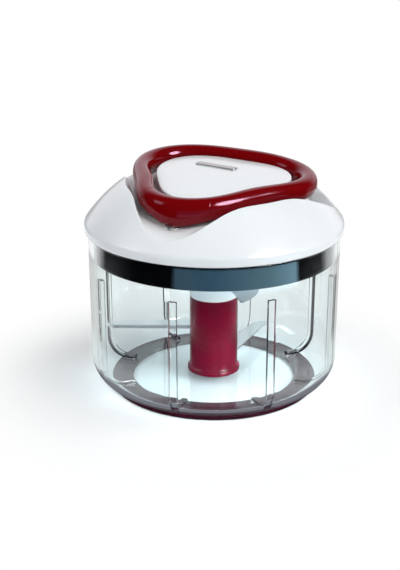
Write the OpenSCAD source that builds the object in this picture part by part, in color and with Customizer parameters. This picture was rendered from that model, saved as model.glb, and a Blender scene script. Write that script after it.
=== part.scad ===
// Pull-string food chopper: a clear bowl with a non-slip base, a blade unit that stands on a pin,
// and a domed lid whose triangular pull handle draws a cord off a spring-returned spool.
// Millimetres, +Z up, origin on the table under the bowl's axis, front towards -Y.

/* [Bowl] */
// Outer radius of the bowl at its rim
bowl_radius = 75; // [74:0.5:77]
// Height of the bowl's rim above the table
bowl_height = 96.6; // [92:0.2:102]
// Thickness of the clear wall
bowl_wall = 3; // [2.6:0.1:3.4]
// Radius of the rounded lower corner
bowl_corner = 16; // [14:0.5:18]
// Number of upright ribs inside the wall
rib_count = 8; // [6:1:10]
// Direction of the first rib, degrees from +X
rib_turn = 26.5; // [0:0.5:45]
// Width of a rib
rib_width = 4.7; // [3.5:0.1:6]
// Height of the square-cut rib tops
rib_top = 74.5; // [60:0.5:76]

/* [Blade unit] */
// Outer radius of the blade shaft
shaft_radius = 14.6; // [14.2:0.1:15]
// Height at which the white collar starts
collar_height = 54.4; // [50:0.2:58]
// Gap between the low blade's tip and the bowl's ribs
tip_clearance = 2.4; // [1.5:0.1:6]
// Thickness of the blades
blade_thick = 1.2; // [1:0.1:1.4]
// Height of the lowest blade
low_blade_height = 14; // [12:0.5:20]
// Height of the middle blade
middle_blade_height = 34; // [30:0.5:38]
// Height of the short swept blade in the collar
upper_blade_height = 70; // [66:0.5:73]

/* [Lid] */
// How far the lid stands out beyond the bowl
lid_overhang = 2; // [1.6:0.1:2.6]
// Rise of the dome's curve from the rim band to its apex
dome_rise = 33.5; // [32.5:0.1:35]
// Crest radius of the three raised petals at their middle
petal_radius = 52.6; // [52:0.1:54]
// How far the valleys between the petals cut out beyond that
valley_reach = 18.9; // [17:0.1:19.5]
// Direction of the front valley, degrees from +X
valley_turn = 247.2; // [245:0.2:249]
// Depth of the black skirt that plugs the bowl
skirt_depth = 15; // [14.6:0.1:16]

/* [Handle] */
// Centre radius of the ring at the middle of a side
ring_radius = 42.1; // [41.6:0.1:42.6]
// How far the ring's corners reach beyond that
ring_reach = 12.2; // [11.5:0.1:12.4]
// Half width of the ring's section
ring_half_width = 5.7; // [5.2:0.1:6]
// Half height of the ring's section
ring_half_height = 6.35; // [6:0.05:6.6]
// Height of the ring's centre line above the lid's lower edge
ring_height = 28.8; // [28:0.1:30]
// Depth of the beak under the cord corner
beak_depth = 3.3; // [2.5:0.1:3.6]

/* [Pull cord] */
// Diameter of the cord
cord_diameter = 2; // [1.6:0.1:2]
// Turns of cord on the spool
cord_turns = 3; // [2:1:3]
// Radius of the cord's centre line on the spool
winding_radius = 22.5; // [22:0.5:23.5]
// Distance from the spool's axis to the cord's exit, along the run
exit_run = 47.5; // [46.5:0.5:48.5]

/* [Hidden] */
$fn = 96;

// Colours of the moulded and metal pieces
clear_blue = [0.86, 0.92, 0.95, 0.45];
maroon = [0.30, 0.05, 0.12];
burgundy = [0.45, 0.03, 0.16];
lid_white = [0.93, 0.95, 0.97];
handle_red = [0.50, 0.01, 0.02];
skirt_black = [0.05, 0.06, 0.07];
steel = [0.75, 0.77, 0.79];
grey_plastic = [0.55, 0.57, 0.60];
cord_white = [0.90, 0.89, 0.86];

// Bowl: the side wall leans in a little towards the foot
wall_lean = 0.0068;
foot_height = 2.4;
side_start = foot_height + bowl_corner;
low_radius = bowl_radius - wall_lean * (bowl_height - side_start);
corner_centre = low_radius - bowl_corner;
rib_depth = 2.2;
rib_inner_end = 52;
boss_radius = 8;
boss_height = 9;
pin_radius = 4;
pin_top = 24;
pin_seat = 3.4;
foot_outer = bowl_radius - 12;
foot_inner = foot_outer - 13.5;
tongue_outer = foot_outer - 5;
tongue_inner = tongue_outer - 3.4;
tongue_height = 1.1;

// Blade unit: the shaft turns on the bowl's pin and carries a hexagonal drive head on top
fit = 0.06;
easy_gap = 0.3;
shaft_bottom = 6.4;
skirt_cavity = 9.4;
bush_radius = 7;
bush_top = 26;
plug_radius = 9;
plug_length = 9;
root_depth = 8.2;
slot_gap = 0.1;
rib_corner = bowl_corner - bowl_wall - rib_depth;
corner_drop = max(0, side_start - low_blade_height);
blade_reach = corner_centre + sqrt(rib_corner * rib_corner - corner_drop * corner_drop) - tip_clearance;
blade_start = shaft_radius - 1.6;
blade_edge = 5;
blade_back = 8.8;
blade_back_tip = 3;
blade_tip_round = 6;
blade_bevel = 2.4;
swept_bow_in = 18.9;
swept_bow_front = 16;
swept_tip_in = 8.5;
swept_tip_back = 16;
swept_hollow_in = 28;
swept_hollow_back = 9;
head_radius = 9;
head_length = 9;

// Heights in the lid are measured from the lid's lower edge
rim_gap = 0.4;
lid_base = bowl_height + rim_gap;
lid_radius = bowl_radius + lid_overhang;
collar_top = lid_base - skirt_depth;
shell = 2.4;
band_height = 5;
dome_power = 3.2;
crest_power = 2;
// Finger room under the handle's right corner, with a steep wall towards the back petal
grip_depth = 12;
grip_side = 4;
grip_power = 14;
wall_sharpness = 14;
wall_side = 40;
petal_shift = 1.2;
petal_side = 305;
valley_skew = 14;
crest_gap = 1.2;
opening_radius = 32.2;
dome_steps = 96;
skirt_radius = bowl_radius - bowl_wall - 0.6;
skirt_wall = 3;
flange_outer = lid_radius - shell - 0.4;
flange_inner = skirt_radius - skirt_wall - 2;
flange_top = 2.2;
flange_bottom = 0.2;
lip_inner = skirt_radius - 10;
plate_thick = 2.4;
plate_bottom = 0.2 - skirt_depth;
plate_top = plate_bottom + plate_thick;
lip_top = plate_top + 4.4;
plate_screw_circle = skirt_radius - 6.8;
plate_screw_count = 6;

// Drive hub and spool, stacked on the lid's axis
hub_sleeve = 17.9;
hub_ring = 20.5;
hub_core = 11.6;
hub_bottom = plate_bottom + 0.4;
hub_flange = plate_top + easy_gap;
hub_floor = hub_flange + 1.5;
hub_top = hub_floor + 5;
core_top = hub_top + 0.9;
tooth_count = 12;
tooth_root = 17.6;
tooth_tip = 16;
spool_bottom = core_top + 0.6;
flange_thick = 1.6;
spool_flange = 28.8;
cord_radius = cord_diameter / 2;
cord_pitch = 2.6;
winding_steps = 24;
winding_gap = 0.1;
drum_radius = (winding_radius - cord_radius) * cos(180 / winding_steps) - winding_gap;
drum_bottom = spool_bottom + flange_thick;
drum_height = 11;
spool_top = drum_bottom + drum_height + flange_thick;
cord_height = drum_bottom + 1.6;
axle_radius = 3;
boss_outer = 6.5;
spring_bottom = spool_top + 1;
spring_tall = 5;
spring_thick = 0.5;
spring_inner = 7.2;
spring_outer = 28.6;
spring_turns = 6;
boss_top = spring_bottom + spring_tall;
housing_inner = 30;
housing_outer = 31.6;
housing_roof = boss_top + 1;
roof_thick = 2.4;
housing_foot = 36.4;
foot_thick = 2;
foot_screw_circle = 34;
foot_screw_count = 3;
foot_screw_turn = 20;
foot_screw_head = 2.2;
blind_floor = 0.6;
pawl_circle = 14.1;
pawl_thick = 3.4;
pawl_bottom = hub_floor + 0.5;
pawl_turns = [41.5, 221.5];

// Pull cord: off the spool along -Y, under the guide roller, up through the valley's floor
exit_x = -winding_radius;
exit_y = -exit_run;
roller_groove = 5;
groove_gap = 0.12;
roller_rim = 5.6;
roller_width = 5;
roller_pin_radius = 1.5;
roller_y = exit_y + roller_groove;
roller_z = cord_height + roller_groove;
cheek_gap = 6;
cheek_thick = 2;
end_straight = cord_diameter;

// Handle: a rounded triangle that leans a little to the front, its cord corner a separate piece
handle_turn = 360 + atan2(exit_y, exit_x);
ring_shift = -1.64;
ring_dip = 2;
ring_lean = 0.06;
back_rise = 0.8;
inner_swell = 1.6;
upper_swell = 1.1;
swell_power = 4;
ring_power = 2.2;
ring_gap = 0.45;
seam_half = 23.2;
seam_gap = 0.15;
section_points = 16;
beak_power = 30;
chamber_radius = 4.2;
dowel_radius = 1.8;
dowel_length = 12;

// Centre cap: the white plateau inside the ring
cap_mid = 34.4;
cap_reach = 8.6;
cap_side_reach = 0.2;
cap_side = 5;
cap_shift = -1.8;
cap_height = 32.3;
cap_crown = 2.2;
cap_lean = 0.08;
cap_wall = 2.2;
cap_steps = 72;
cap_foot_gap = 0.25;
badge_size = [26, 5, 0.8];
badge_place = [1.2, 13.4];
badge_turn = -28;

// Plan shapes shared by lid, ring and cap

// Wave over the angle: 1 at the three corners, 0 at the middle of the sides
function corner_wave(a, turn, skew) =
    (1 + cos(3 * (a - turn) + skew * sin(a - turn))) / 2;
function polar(r, a, z) = [r * cos(a), r * sin(a), z];
function dome_z(r) = band_height + dome_rise * (1 - pow(r / lid_radius, dome_power));
function valley_power(a) = crest_power + wall_sharpness * pow(max(0, cos(a - wall_side)), 6);
function crest_r(a) = max(ring_r(a) + ring_half_width + crest_gap,
    petal_radius + petal_shift * cos(a - petal_side)
        + valley_reach * pow(corner_wave(a, valley_turn, valley_skew), valley_power(a)));
function ring_r(a) =
    ring_radius + ring_reach * corner_wave(a, handle_turn, 0) + ring_shift * cos(a - handle_turn);
function corner_dip(a) = ring_dip * (1 - back_rise * max(0, cos(a - handle_turn + 120)));
function ring_z(a) =
    ring_height - corner_dip(a) * corner_wave(a, handle_turn, 0) + ring_lean * ring_r(a) * sin(a);
function corner_swell(a) = pow(max(0, cos(a - handle_turn)), swell_power);
function beak(a) = beak_depth * pow(max(0, cos(a - handle_turn)), beak_power);
function ring_foot(a) = ring_z(a) - ring_half_height - beak(a);
function grip_room(a) = grip_depth * pow(max(0, cos(a - grip_side)), grip_power);
function floor_z(a) = ring_foot(a) - ring_gap - grip_room(a);
function floor_edge(a) = min(crest_r(a) - 1.5, ring_r(a) + ring_half_width + 1.3);
function cap_corner(a) = cap_reach * (1 + cap_side_reach * cos(a - cap_side));
function cap_r(a) =
    cap_mid + cap_corner(a) * corner_wave(a, handle_turn, 0) + cap_shift * cos(a - handle_turn);
function cap_z(f, a) = cap_height - cap_crown * pow(f, 3) + cap_lean * f * cap_r(a) * sin(a);

// Triangles between the rings of points of a swept body, rings of m points, n of them
function sweep_faces(n, m, joined) = [
    for (i = [0 : joined ? n - 1 : n - 2])
        for (j = [0 : m - 1])
            let (k = (i + 1) % n, l = (j + 1) % m)
                each [[i * m + j, k * m + l, i * m + l], [i * m + j, k * m + j, k * m + l]]];
function end_faces(n, m) = concat(
    [for (j = [1 : m - 2]) [0, j, j + 1]],
    [for (j = [1 : m - 2]) [(n - 1) * m, (n - 1) * m + j + 1, (n - 1) * m + j]]);

module swept(rings, joined) {
    n = len(rings);
    m = len(rings[0]);
    faces = joined ? sweep_faces(n, m, true) : concat(sweep_faces(n, m, false), end_faces(n, m));
    polyhedron(points = [for (ring = rings) each ring], faces = faces, convexity = 8);
}

module on_lid() {
    translate([0, 0, lid_base])
        children();
}

module tube(outer, inner, bottom, top) {
    translate([0, 0, bottom])
        difference() {
            cylinder(r = outer, h = top - bottom);
            translate([0, 0, -1])
                cylinder(r = inner, h = top - bottom + 2);
        }
}

module disc(r, bottom, top) {
    translate([0, 0, bottom])
        cylinder(r = r, h = top - bottom);
}

// Plan of the bowl's inside or outside from the axis to a surface set in from the outer one
module bowl_section(inset, top) {
    corner = bowl_corner - inset;
    polygon([[0, foot_height + inset], [corner_centre, foot_height + inset], [corner_centre, side_start],
        [low_radius - inset, side_start], [bowl_radius - inset, top], [0, top]]);
    intersection() {
        translate([corner_centre, side_start])
            circle(r = corner);
        square([bowl_radius, side_start]);
    }
}

// Clear bowl with its upright ribs, the boss for the pin and the groove for the base ring
module bowl() {
    rib_angle = rib_width / (bowl_radius - bowl_wall) * 180 / PI;
    color(clear_blue)
        difference() {
            union() {
                rotate_extrude()
                    difference() {
                        bowl_section(0, bowl_height);
                        bowl_section(bowl_wall, bowl_height + 1);
                    }
                for (i = [0 : rib_count - 1])
                    rotate([0, 0, rib_turn + i * 360 / rib_count - rib_angle / 2])
                        rotate_extrude(angle = rib_angle)
                            intersection() {
                                difference() {
                                    bowl_section(bowl_wall - 0.4, bowl_height);
                                    bowl_section(bowl_wall + rib_depth, bowl_height + 1);
                                }
                                translate([rib_inner_end, 0])
                                    square([bowl_radius, rib_top]);
                            }
                disc(boss_radius, foot_height + 1, boss_height);
            }
            tube(tongue_outer + fit, tongue_inner - fit, foot_height - 1, foot_height + tongue_height + fit);
            disc(pin_radius + fit / 2, pin_seat, boss_height + 1);
        }
}

// Soft non-slip ring under the bowl, held by a tongue in the bowl's groove
module base_ring() {
    chamfer = 0.9;
    color(maroon)
        rotate_extrude()
            polygon([[foot_inner, 0], [foot_outer - chamfer, 0], [foot_outer, chamfer],
                [foot_outer, foot_height], [tongue_outer, foot_height],
                [tongue_outer, foot_height + tongue_height], [tongue_inner, foot_height + tongue_height],
                [tongue_inner, foot_height], [foot_inner, foot_height]]);
}

// Steel pin on which the blade unit turns
module centre_pin() {
    nose = 2;
    color(steel)
        rotate_extrude()
            polygon([[0, pin_seat], [pin_radius, pin_seat], [pin_radius, pin_top - nose],
                [pin_radius - nose, pin_top], [0, pin_top]]);
}

// Slot for a blade's root, in the blade's own direction
module root_slot(turn, height, width) {
    rotate([0, 0, turn])
        translate([root_depth - slot_gap, -width / 2 - slot_gap, height - slot_gap])
            cube([shaft_radius + 4, width + 2 * slot_gap, blade_thick + 2 * slot_gap]);
}

low_blade_turn = 60;
middle_blade_turn = 180;
upper_blade_turn = 300;
long_root = 14;
swept_root = 16;

// Hollow shaft with the bush's bore, the slots of two blades and the socket of the collar's plug
module blade_shaft() {
    foot_flare = 1.4;
    flare_height = 3;
    color(burgundy)
        difference() {
            union() {
                disc(shaft_radius, shaft_bottom, collar_height);
                disc(shaft_radius + foot_flare, shaft_bottom, shaft_bottom + flare_height);
            }
            disc(skirt_cavity, shaft_bottom - 1, boss_height + easy_gap);
            disc(bush_radius + fit / 2, shaft_bottom, bush_top + fit);
            disc(plug_radius + fit / 2, collar_height - plug_length - fit, collar_height + 1);
            root_slot(low_blade_turn, low_blade_height, long_root);
            root_slot(middle_blade_turn, middle_blade_height, long_root);
        }
}

// Bearing bush in the foot of the shaft
module shaft_bush() {
    color(grey_plastic)
        tube(bush_radius, pin_radius + fit, boss_height + 0.1, bush_top);
}

// White collar: plugged into the shaft, slotted for the upper blade, hexagonal drive head on top
module shaft_collar() {
    color(lid_white)
        difference() {
            union() {
                disc(plug_radius, collar_height - plug_length, collar_height + 1);
                disc(shaft_radius, collar_height, collar_top);
                translate([0, 0, collar_top])
                    cylinder(r = head_radius, h = head_length, $fn = 6);
            }
            root_slot(upper_blade_turn, upper_blade_height, swept_root);
        }
}

// Root of a blade, pointing along +X, that sits in its slot
module blade_root(width) {
    overlap = 0.2;
    translate([root_depth, -width / 2, 0])
        cube([blade_start - root_depth + overlap, width, blade_thick]);
}

// Plan of the long blade: straight edge in front, back sloping in, the front corner of the tip rounded
module long_outline() {
    tip_x = blade_reach - blade_tip_round;
    tip_y = blade_edge - blade_tip_round;
    polygon(concat([[blade_start, -blade_back], [blade_reach, -blade_back_tip]],
        [for (a = [0 : 15 : 90]) [tip_x + blade_tip_round * cos(a), tip_y + blade_tip_round * sin(a)]],
        [[blade_start, blade_edge]]));
}

// Long blade, pointing along +X, its front edge ground to a bevel
module long_blade(turn, height) {
    bevel_angle = 22;
    bevel_start = 3;
    color(steel)
        rotate([0, 0, turn])
            translate([0, 0, height])
                difference() {
                    union() {
                        blade_root(long_root);
                        linear_extrude(height = blade_thick)
                            long_outline();
                    }
                    translate([shaft_radius + bevel_start, blade_edge - blade_bevel, blade_thick])
                        rotate([-bevel_angle, 0, 0])
                            cube([blade_reach, 2 * blade_bevel, blade_bevel]);
                }
}

module low_blade() {
    long_blade(low_blade_turn, low_blade_height);
}

module middle_blade() {
    long_blade(middle_blade_turn, middle_blade_height);
}

// Quadratic curve through three control points, at t from 0 to 1
function bend(p, q, r, t) = (1 - t) * (1 - t) * p + 2 * t * (1 - t) * q + t * t * r;

// Short blade swept back to a point, its ground edge bowed outwards
module upper_blade() {
    steps = 12;
    root_front = [blade_start, swept_root / 2];
    bow = [blade_reach - swept_bow_in, swept_bow_front];
    tip = [blade_reach - swept_tip_in, -swept_tip_back];
    hollow = [blade_reach - swept_hollow_in, -swept_hollow_back];
    root_back = [blade_start, -swept_root / 2];
    front = [for (i = [0 : steps]) bend(root_front, bow, tip, i / steps)];
    rear = [for (i = [1 : steps]) bend(tip, hollow, root_back, i / steps)];
    color(steel)
        rotate([0, 0, upper_blade_turn])
            translate([0, 0, upper_blade_height]) {
                blade_root(swept_root);
                linear_extrude(height = blade_thick)
                    polygon(concat(front, rear));
            }
}

// Height of the lid's channel and valley surface between its floor and the petal crest
function channel_z(r, a) =
    let (edge = floor_edge(a), crest = crest_r(a))
        floor_z(a) + (dome_z(crest) - floor_z(a)) * pow(min(1, max(0, (r - edge) / (crest - edge))), 2);

// One section of the lid's shell: rim band, dome, crest, channel floor, then back along the underside
function dome_section(a) =
    let (crest = crest_r(a), edge = floor_edge(a), rim = lid_radius, base = floor_z(a),
        middle = (edge + opening_radius) / 2, last = rim - shell - 2.2, under = 1.35 * shell)
        concat(
            [[rim - shell, 0], [rim - 0.7, 0], [rim - 0.15, 0.6], [rim, 1.6]],
            [for (i = [0 : 7]) let (r = rim + (crest - rim) * i / 7) [r, dome_z(r)]],
            [for (t = [0.3, 0.65, 1]) let (r = crest + (edge - crest) * t) [r, channel_z(r, a)]],
            [[middle, base], [opening_radius, base]],
            [[opening_radius, base - shell], [middle, base - shell], [edge, base - shell]],
            [for (i = [1 : 4]) let (r = edge + (last - edge) * i / 4)
                [r, min(min(base, channel_z(r, a)) - shell, dome_z(r) - under)]],
            [[rim - shell, 2.6]]);

// White domed lid: three petals stand round the channel in which the handle lies
module lid_dome() {
    hole = 3.5;
    color(lid_white)
        on_lid()
            difference() {
                swept([for (i = [0 : dome_steps - 1])
                    let (a = i * 360 / dome_steps)
                        [for (p = dome_section(a)) polar(p[0], a, p[1])]], true);
                translate([exit_x, exit_y, 0])
                    cylinder(r = hole, h = 2 * band_height + cap_height);
            }
}

// Glossy black skirt that plugs the bowl, with the flange under the dome and the lip for the plate
module lid_skirt() {
    rounding = 0.6;
    color(skirt_black)
        on_lid()
            difference() {
                rotate_extrude()
                    union() {
                        polygon([[skirt_radius - skirt_wall, -skirt_depth],
                            [skirt_radius - rounding, -skirt_depth], [skirt_radius, rounding - skirt_depth],
                            [skirt_radius, flange_top], [skirt_radius - skirt_wall, flange_top]]);
                        translate([flange_inner, flange_bottom])
                            square([flange_outer - flange_inner, flange_top - flange_bottom]);
                        translate([lip_inner, plate_top])
                            square([skirt_radius - lip_inner - 1, lip_top - plate_top]);
                    }
                at_plate_screws()
                    disc(screw_radius + fit / 2, plate_top - 1, lip_top + 1);
            }
}

// Thin soft ring between the lid's flange and the bowl's rim
module lid_seal() {
    color(grey_plastic)
        on_lid()
            tube(bowl_radius - 0.9, skirt_radius + 0.3, 0.05 - rim_gap, flange_bottom);
}

screw_radius = 1.5;
screw_head = 3;
head_thick = 1.2;

module at_plate_screws() {
    for (i = [0 : plate_screw_count - 1])
        rotate([0, 0, i * 360 / plate_screw_count])
            translate([plate_screw_circle, 0, 0])
                children();
}

module at_foot_screws() {
    for (i = [0 : foot_screw_count - 1])
        rotate([0, 0, foot_screw_turn + i * 360 / foot_screw_count])
            translate([foot_screw_circle, 0, 0])
                children();
}

// White plate that closes the lid from below, bored for the drive hub
module under_plate() {
    color(lid_white)
        on_lid()
            difference() {
                tube(skirt_radius - skirt_wall - easy_gap, hub_sleeve + 0.1, plate_bottom, plate_top);
                at_plate_screws() {
                    disc(screw_radius + fit / 2, plate_bottom - 1, plate_top + 1);
                    disc(screw_head + fit, plate_bottom - 1, plate_bottom + head_thick);
                }
                at_foot_screws()
                    disc(screw_radius + fit / 2, plate_bottom + blind_floor, plate_top + 1);
            }
}

// Screws that hold the plate to the skirt's lip
module plate_screws() {
    color(steel)
        on_lid()
            at_plate_screws() {
                disc(screw_head, plate_bottom, plate_bottom + head_thick);
                disc(screw_radius, plate_bottom + head_thick / 2, lip_top - 0.6);
            }
}

// Round housing of the spool and spring, with a window for the cord
module housing() {
    window = [7, 12, 9];
    window_start = -26;
    color(grey_plastic)
        on_lid()
            difference() {
                union() {
                    tube(housing_outer, housing_inner, plate_top, housing_roof + roof_thick);
                    tube(housing_foot, housing_inner, plate_top, plate_top + foot_thick);
                    disc(housing_outer, housing_roof, housing_roof + roof_thick);
                }
                translate([exit_x - window[0] / 2, window_start, cord_height - window[2] / 2])
                    cube(window);
                disc(axle_radius + fit / 2, housing_roof - 1, housing_roof + roof_thick + 1);
                at_foot_screws()
                    disc(screw_radius + fit / 2, plate_top - 1, plate_top + foot_thick + 1);
            }
}

// Screws that hold the housing's foot to the plate
module housing_screws() {
    color(steel)
        on_lid()
            at_foot_screws() {
                disc(foot_screw_head, plate_top + foot_thick, plate_top + foot_thick + head_thick);
                disc(screw_radius, plate_bottom + blind_floor + 0.2, plate_top + foot_thick + head_thick / 2);
            }
}

// Steel axle of the spool, riveted over on the housing's roof
module spool_axle() {
    rivet = 5;
    color(steel)
        on_lid() {
            disc(axle_radius, core_top + 0.2, housing_roof + roof_thick + 0.5);
            disc(rivet, housing_roof + roof_thick, housing_roof + roof_thick + 1.2);
        }
}

// Flat spiral spring that winds the cord back, from the spool's boss to the housing
module recoil_spring() {
    steps = spring_turns * winding_steps;
    growth = (spring_outer - spring_inner) / steps;
    least_gap = growth * winding_steps - spring_thick;
    echo(str("recoil_spring least gap between turns ", least_gap));
    color(steel)
        on_lid()
            swept([for (i = [0 : steps])
                let (a = i * 360 / winding_steps, r = spring_inner + growth * i)
                    [polar(r, a, spring_bottom), polar(r + spring_thick, a, spring_bottom),
                        polar(r + spring_thick, a, boss_top), polar(r, a, boss_top)]], false);
}

// White plateau inside the ring, a thin cap standing on the channel's floor
module centre_cap() {
    stations = [0.3, 0.55, 0.75, 0.9, 0.97];
    edge_drop = 0.9;
    function outer(a) = concat(
        [polar(0.02 * cap_r(a), a, cap_z(0, a))],
        [for (f = stations) polar(f * cap_r(a), a, cap_z(f, a))],
        [polar(0.995 * cap_r(a), a, cap_z(1, a) - edge_drop / 3),
            polar(cap_r(a), a, cap_z(1, a) - edge_drop),
            polar(cap_r(a), a, floor_z(a) + cap_foot_gap)]);
    function inner(a) = concat(
        [polar(cap_r(a) - cap_wall, a, floor_z(a) + cap_foot_gap)],
        [for (f = [0.97, 0.75, 0.45])
            polar(f * (cap_r(a) - cap_wall), a, cap_z(f, a) - cap_wall)],
        [polar(0.02 * cap_r(a), a, cap_z(0, a) - cap_wall)]);
    color(lid_white)
        on_lid() {
            swept([for (i = [0 : cap_steps - 1])
                let (a = i * 360 / cap_steps) concat(outer(a), inner(a))], true);
            disc(0.03 * cap_mid, cap_height - cap_wall, cap_height - 0.02);
        }
}

// Bare metal plate on the cap, tilted to lie along the crown where it sits
module badge_plate() {
    seat_gap = 0.05;
    a = atan2(badge_place[1], badge_place[0]);
    f = norm(badge_place) / cap_r(a);
    slope = cap_lean - 3 * cap_crown * f * f / cap_r(a);
    color(steel)
        on_lid()
            translate([badge_place[0], badge_place[1], cap_z(f, a) + seat_gap])
                rotate([atan(slope), 0, 0])
                    rotate([0, 0, badge_turn])
                        translate([-badge_size[0] / 2, -badge_size[1] / 2, 0])
                            cube(badge_size);
}

// One ratchet tooth, a wedge standing in from the hub's ring
module tooth() {
    step = 360 / tooth_count;
    linear_extrude(height = hub_top - hub_floor)
        polygon([polar_2d(tooth_root + 0.6, 0), polar_2d(tooth_tip, 0), polar_2d(tooth_root, step * 0.85),
            polar_2d(tooth_root + 0.6, step * 0.85)]);
}

function polar_2d(r, a) = [r * cos(a), r * sin(a)];

// Drive hub: runs in the plate, takes the blade unit's hexagonal head, toothed for the pawls
module drive_hub() {
    socket = head_radius + 0.35;
    color(lid_white)
        on_lid()
            difference() {
                union() {
                    disc(hub_sleeve, hub_bottom, hub_flange + 0.5);
                    disc(hub_ring, hub_flange, hub_floor);
                    tube(hub_ring, tooth_root, hub_floor - 0.5, hub_top);
                    disc(hub_core, hub_floor - 0.5, core_top);
                    for (i = [0 : tooth_count - 1])
                        rotate([0, 0, i * 360 / tooth_count])
                            translate([0, 0, hub_floor])
                                tooth();
                }
                translate([0, 0, hub_bottom - 1])
                    cylinder(r = socket, h = head_length - 0.2 - hub_bottom - skirt_depth + 1.4, $fn = 6);
            }
}

// Spool with two flanges, bored for the axle, the boss on top holding the spring's inner end
module cord_spool() {
    color(grey_plastic)
        on_lid()
            difference() {
                union() {
                    disc(spool_flange, spool_bottom, drum_bottom);
                    disc(drum_radius, spool_bottom, spool_top);
                    disc(spool_flange, spool_top - flange_thick, spool_top);
                    disc(boss_outer, spool_top - 1, boss_top);
                }
                disc(axle_radius + fit, spool_bottom - 1, boss_top + 1);
                at_pawls()
                    disc(pawl_pin + fit / 2, spool_bottom - 1, spool_bottom + pawl_pin_seat + fit);
            }
}

// Ring of six points round a cord's centre line, in the plane of the axis and the direction a
function cord_ring(centre, a) = [for (j = [0 : 5])
    centre + cord_radius * [cos(60 * j) * cos(a), cos(60 * j) * sin(a), sin(60 * j)]];

// Cord wound on the spool, one unbroken tube that leaves along -Y
module cord_winding() {
    steps = cord_turns * winding_steps;
    centres = [for (i = [0 : steps]) let (back = (steps - i) / winding_steps)
        polar(winding_radius, 180 - 360 * back, cord_height + cord_pitch * back)];
    first_way = [-sin(180 - 360 * cord_turns), cos(180 - 360 * cord_turns), 0];
    least_gap = min([for (i = [0 : steps]) for (j = [i + winding_steps / 2 : 1 : steps])
        norm(centres[j] - centres[i])]) - cord_diameter;
    echo(str("cord_winding least gap to itself ", least_gap));
    color(cord_white)
        on_lid()
            swept(concat(
                [cord_ring(centres[0] - end_straight * first_way, 180 - 360 * cord_turns)],
                [for (i = [0 : steps]) cord_ring(centres[i], 180 - 360 * (steps - i) / winding_steps)],
                [cord_ring(centres[steps] + [0, -end_straight, 0], 180)]), false);
}

pawl_pin = 1;
pawl_pin_seat = 4;

module at_pawls() {
    for (turn = pawl_turns)
        rotate([0, 0, turn])
            translate([pawl_circle, 0, 0])
                children();
}

// Pins under the spool on which the pawls swing
module pawl_pins() {
    color(steel)
        on_lid()
            at_pawls()
                disc(pawl_pin, pawl_bottom - easy_gap, spool_bottom + pawl_pin_seat);
}

// Pawl: a short lever whose nose reaches for the hub's teeth
module pawl(turn) {
    eye = 1.8;
    nose = [2, 4.4];
    neck = 1.7;
    nose_width = 1.4;
    color(steel)
        on_lid()
            rotate([0, 0, turn])
                translate([pawl_circle, 0, pawl_bottom])
                    difference() {
                        linear_extrude(height = pawl_thick)
                            union() {
                                circle(r = eye);
                                polygon([[-neck, 0.3], [neck, 0.3], nose, nose - [nose_width, 0]]);
                            }
                        translate([0, 0, -1])
                            cylinder(r = pawl_pin + fit, h = pawl_thick + 2);
                    }
}

module pawl_1() {
    pawl(pawl_turns[0]);
}

module pawl_2() {
    pawl(pawl_turns[1]);
}

module at_roller() {
    on_lid()
        translate([exit_x, roller_y, roller_z])
            rotate([0, 90, 0])
                children();
}

// Grooved roller that turns the cord upwards
module guide_roller() {
    color(cord_white)
        at_roller()
            rotate_extrude()
                difference() {
                    translate([roller_pin_radius + fit, -roller_width / 2])
                        square([roller_rim - roller_pin_radius - fit, roller_width]);
                    translate([roller_groove, 0])
                        circle(r = cord_radius + groove_gap);
                    translate([roller_groove, -cord_radius - groove_gap])
                        square([cord_diameter, cord_diameter + 2 * groove_gap]);
                }
}

// Pin of the guide roller
module roller_pin() {
    length = cheek_gap + 2 * cheek_thick + 0.6;
    color(steel)
        at_roller()
            translate([0, 0, -length / 2])
                cylinder(r = roller_pin_radius, h = length);
}

// Bracket on the plate that holds the roller's pin between two cheeks
module roller_bracket() {
    deep = 9;
    above_pin = 3.6;
    floor_thick = 2;
    top = roller_z + above_pin;
    width = cheek_gap + 2 * cheek_thick;
    color(grey_plastic)
        difference() {
            on_lid()
                translate([exit_x - width / 2, roller_y - deep / 2, plate_top])
                    difference() {
                        cube([width, deep, top - plate_top]);
                        translate([cheek_thick, -1, floor_thick])
                            cube([cheek_gap, deep + 2, top - plate_top]);
                    }
            at_roller()
                translate([0, 0, -width])
                    cylinder(r = roller_pin_radius + fit / 2, h = 2 * width);
        }
}

eyelet_top = floor_z(handle_turn) + 0.2;
eyelet_flange = 1;

// Cord from the spool to the exit: level along -Y, a quarter turn under the roller, then upright
module cord_lead() {
    clear = winding_radius + cord_radius + easy_gap;
    start = -sqrt(clear * clear - pow(winding_radius - cord_radius, 2));
    color(cord_white)
        on_lid()
            translate([exit_x, 0, cord_height]) {
                translate([0, roller_y, 0])
                    rotate([-90, 0, 0])
                        cylinder(r = cord_radius, h = start - roller_y);
                translate([0, roller_y, roller_groove])
                    rotate([0, 90, 180])
                        rotate_extrude(angle = 90)
                            translate([roller_groove, 0])
                                circle(r = cord_radius);
                translate([0, exit_y, roller_groove])
                    cylinder(r = cord_radius, h = eyelet_top - cord_height - roller_groove);
            }
}

// Flanged eyelet in the valley's floor
module cord_eyelet() {
    bore = cord_radius + 0.45;
    neck = 3.3;
    flange = 4.6;
    low = floor_z(handle_turn) - shell - 0.25;
    color(steel)
        on_lid()
            translate([exit_x, exit_y, 0]) {
                tube(neck, bore, low, eyelet_top);
                tube(flange, bore, low - eyelet_flange, low);
            }
}

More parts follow.
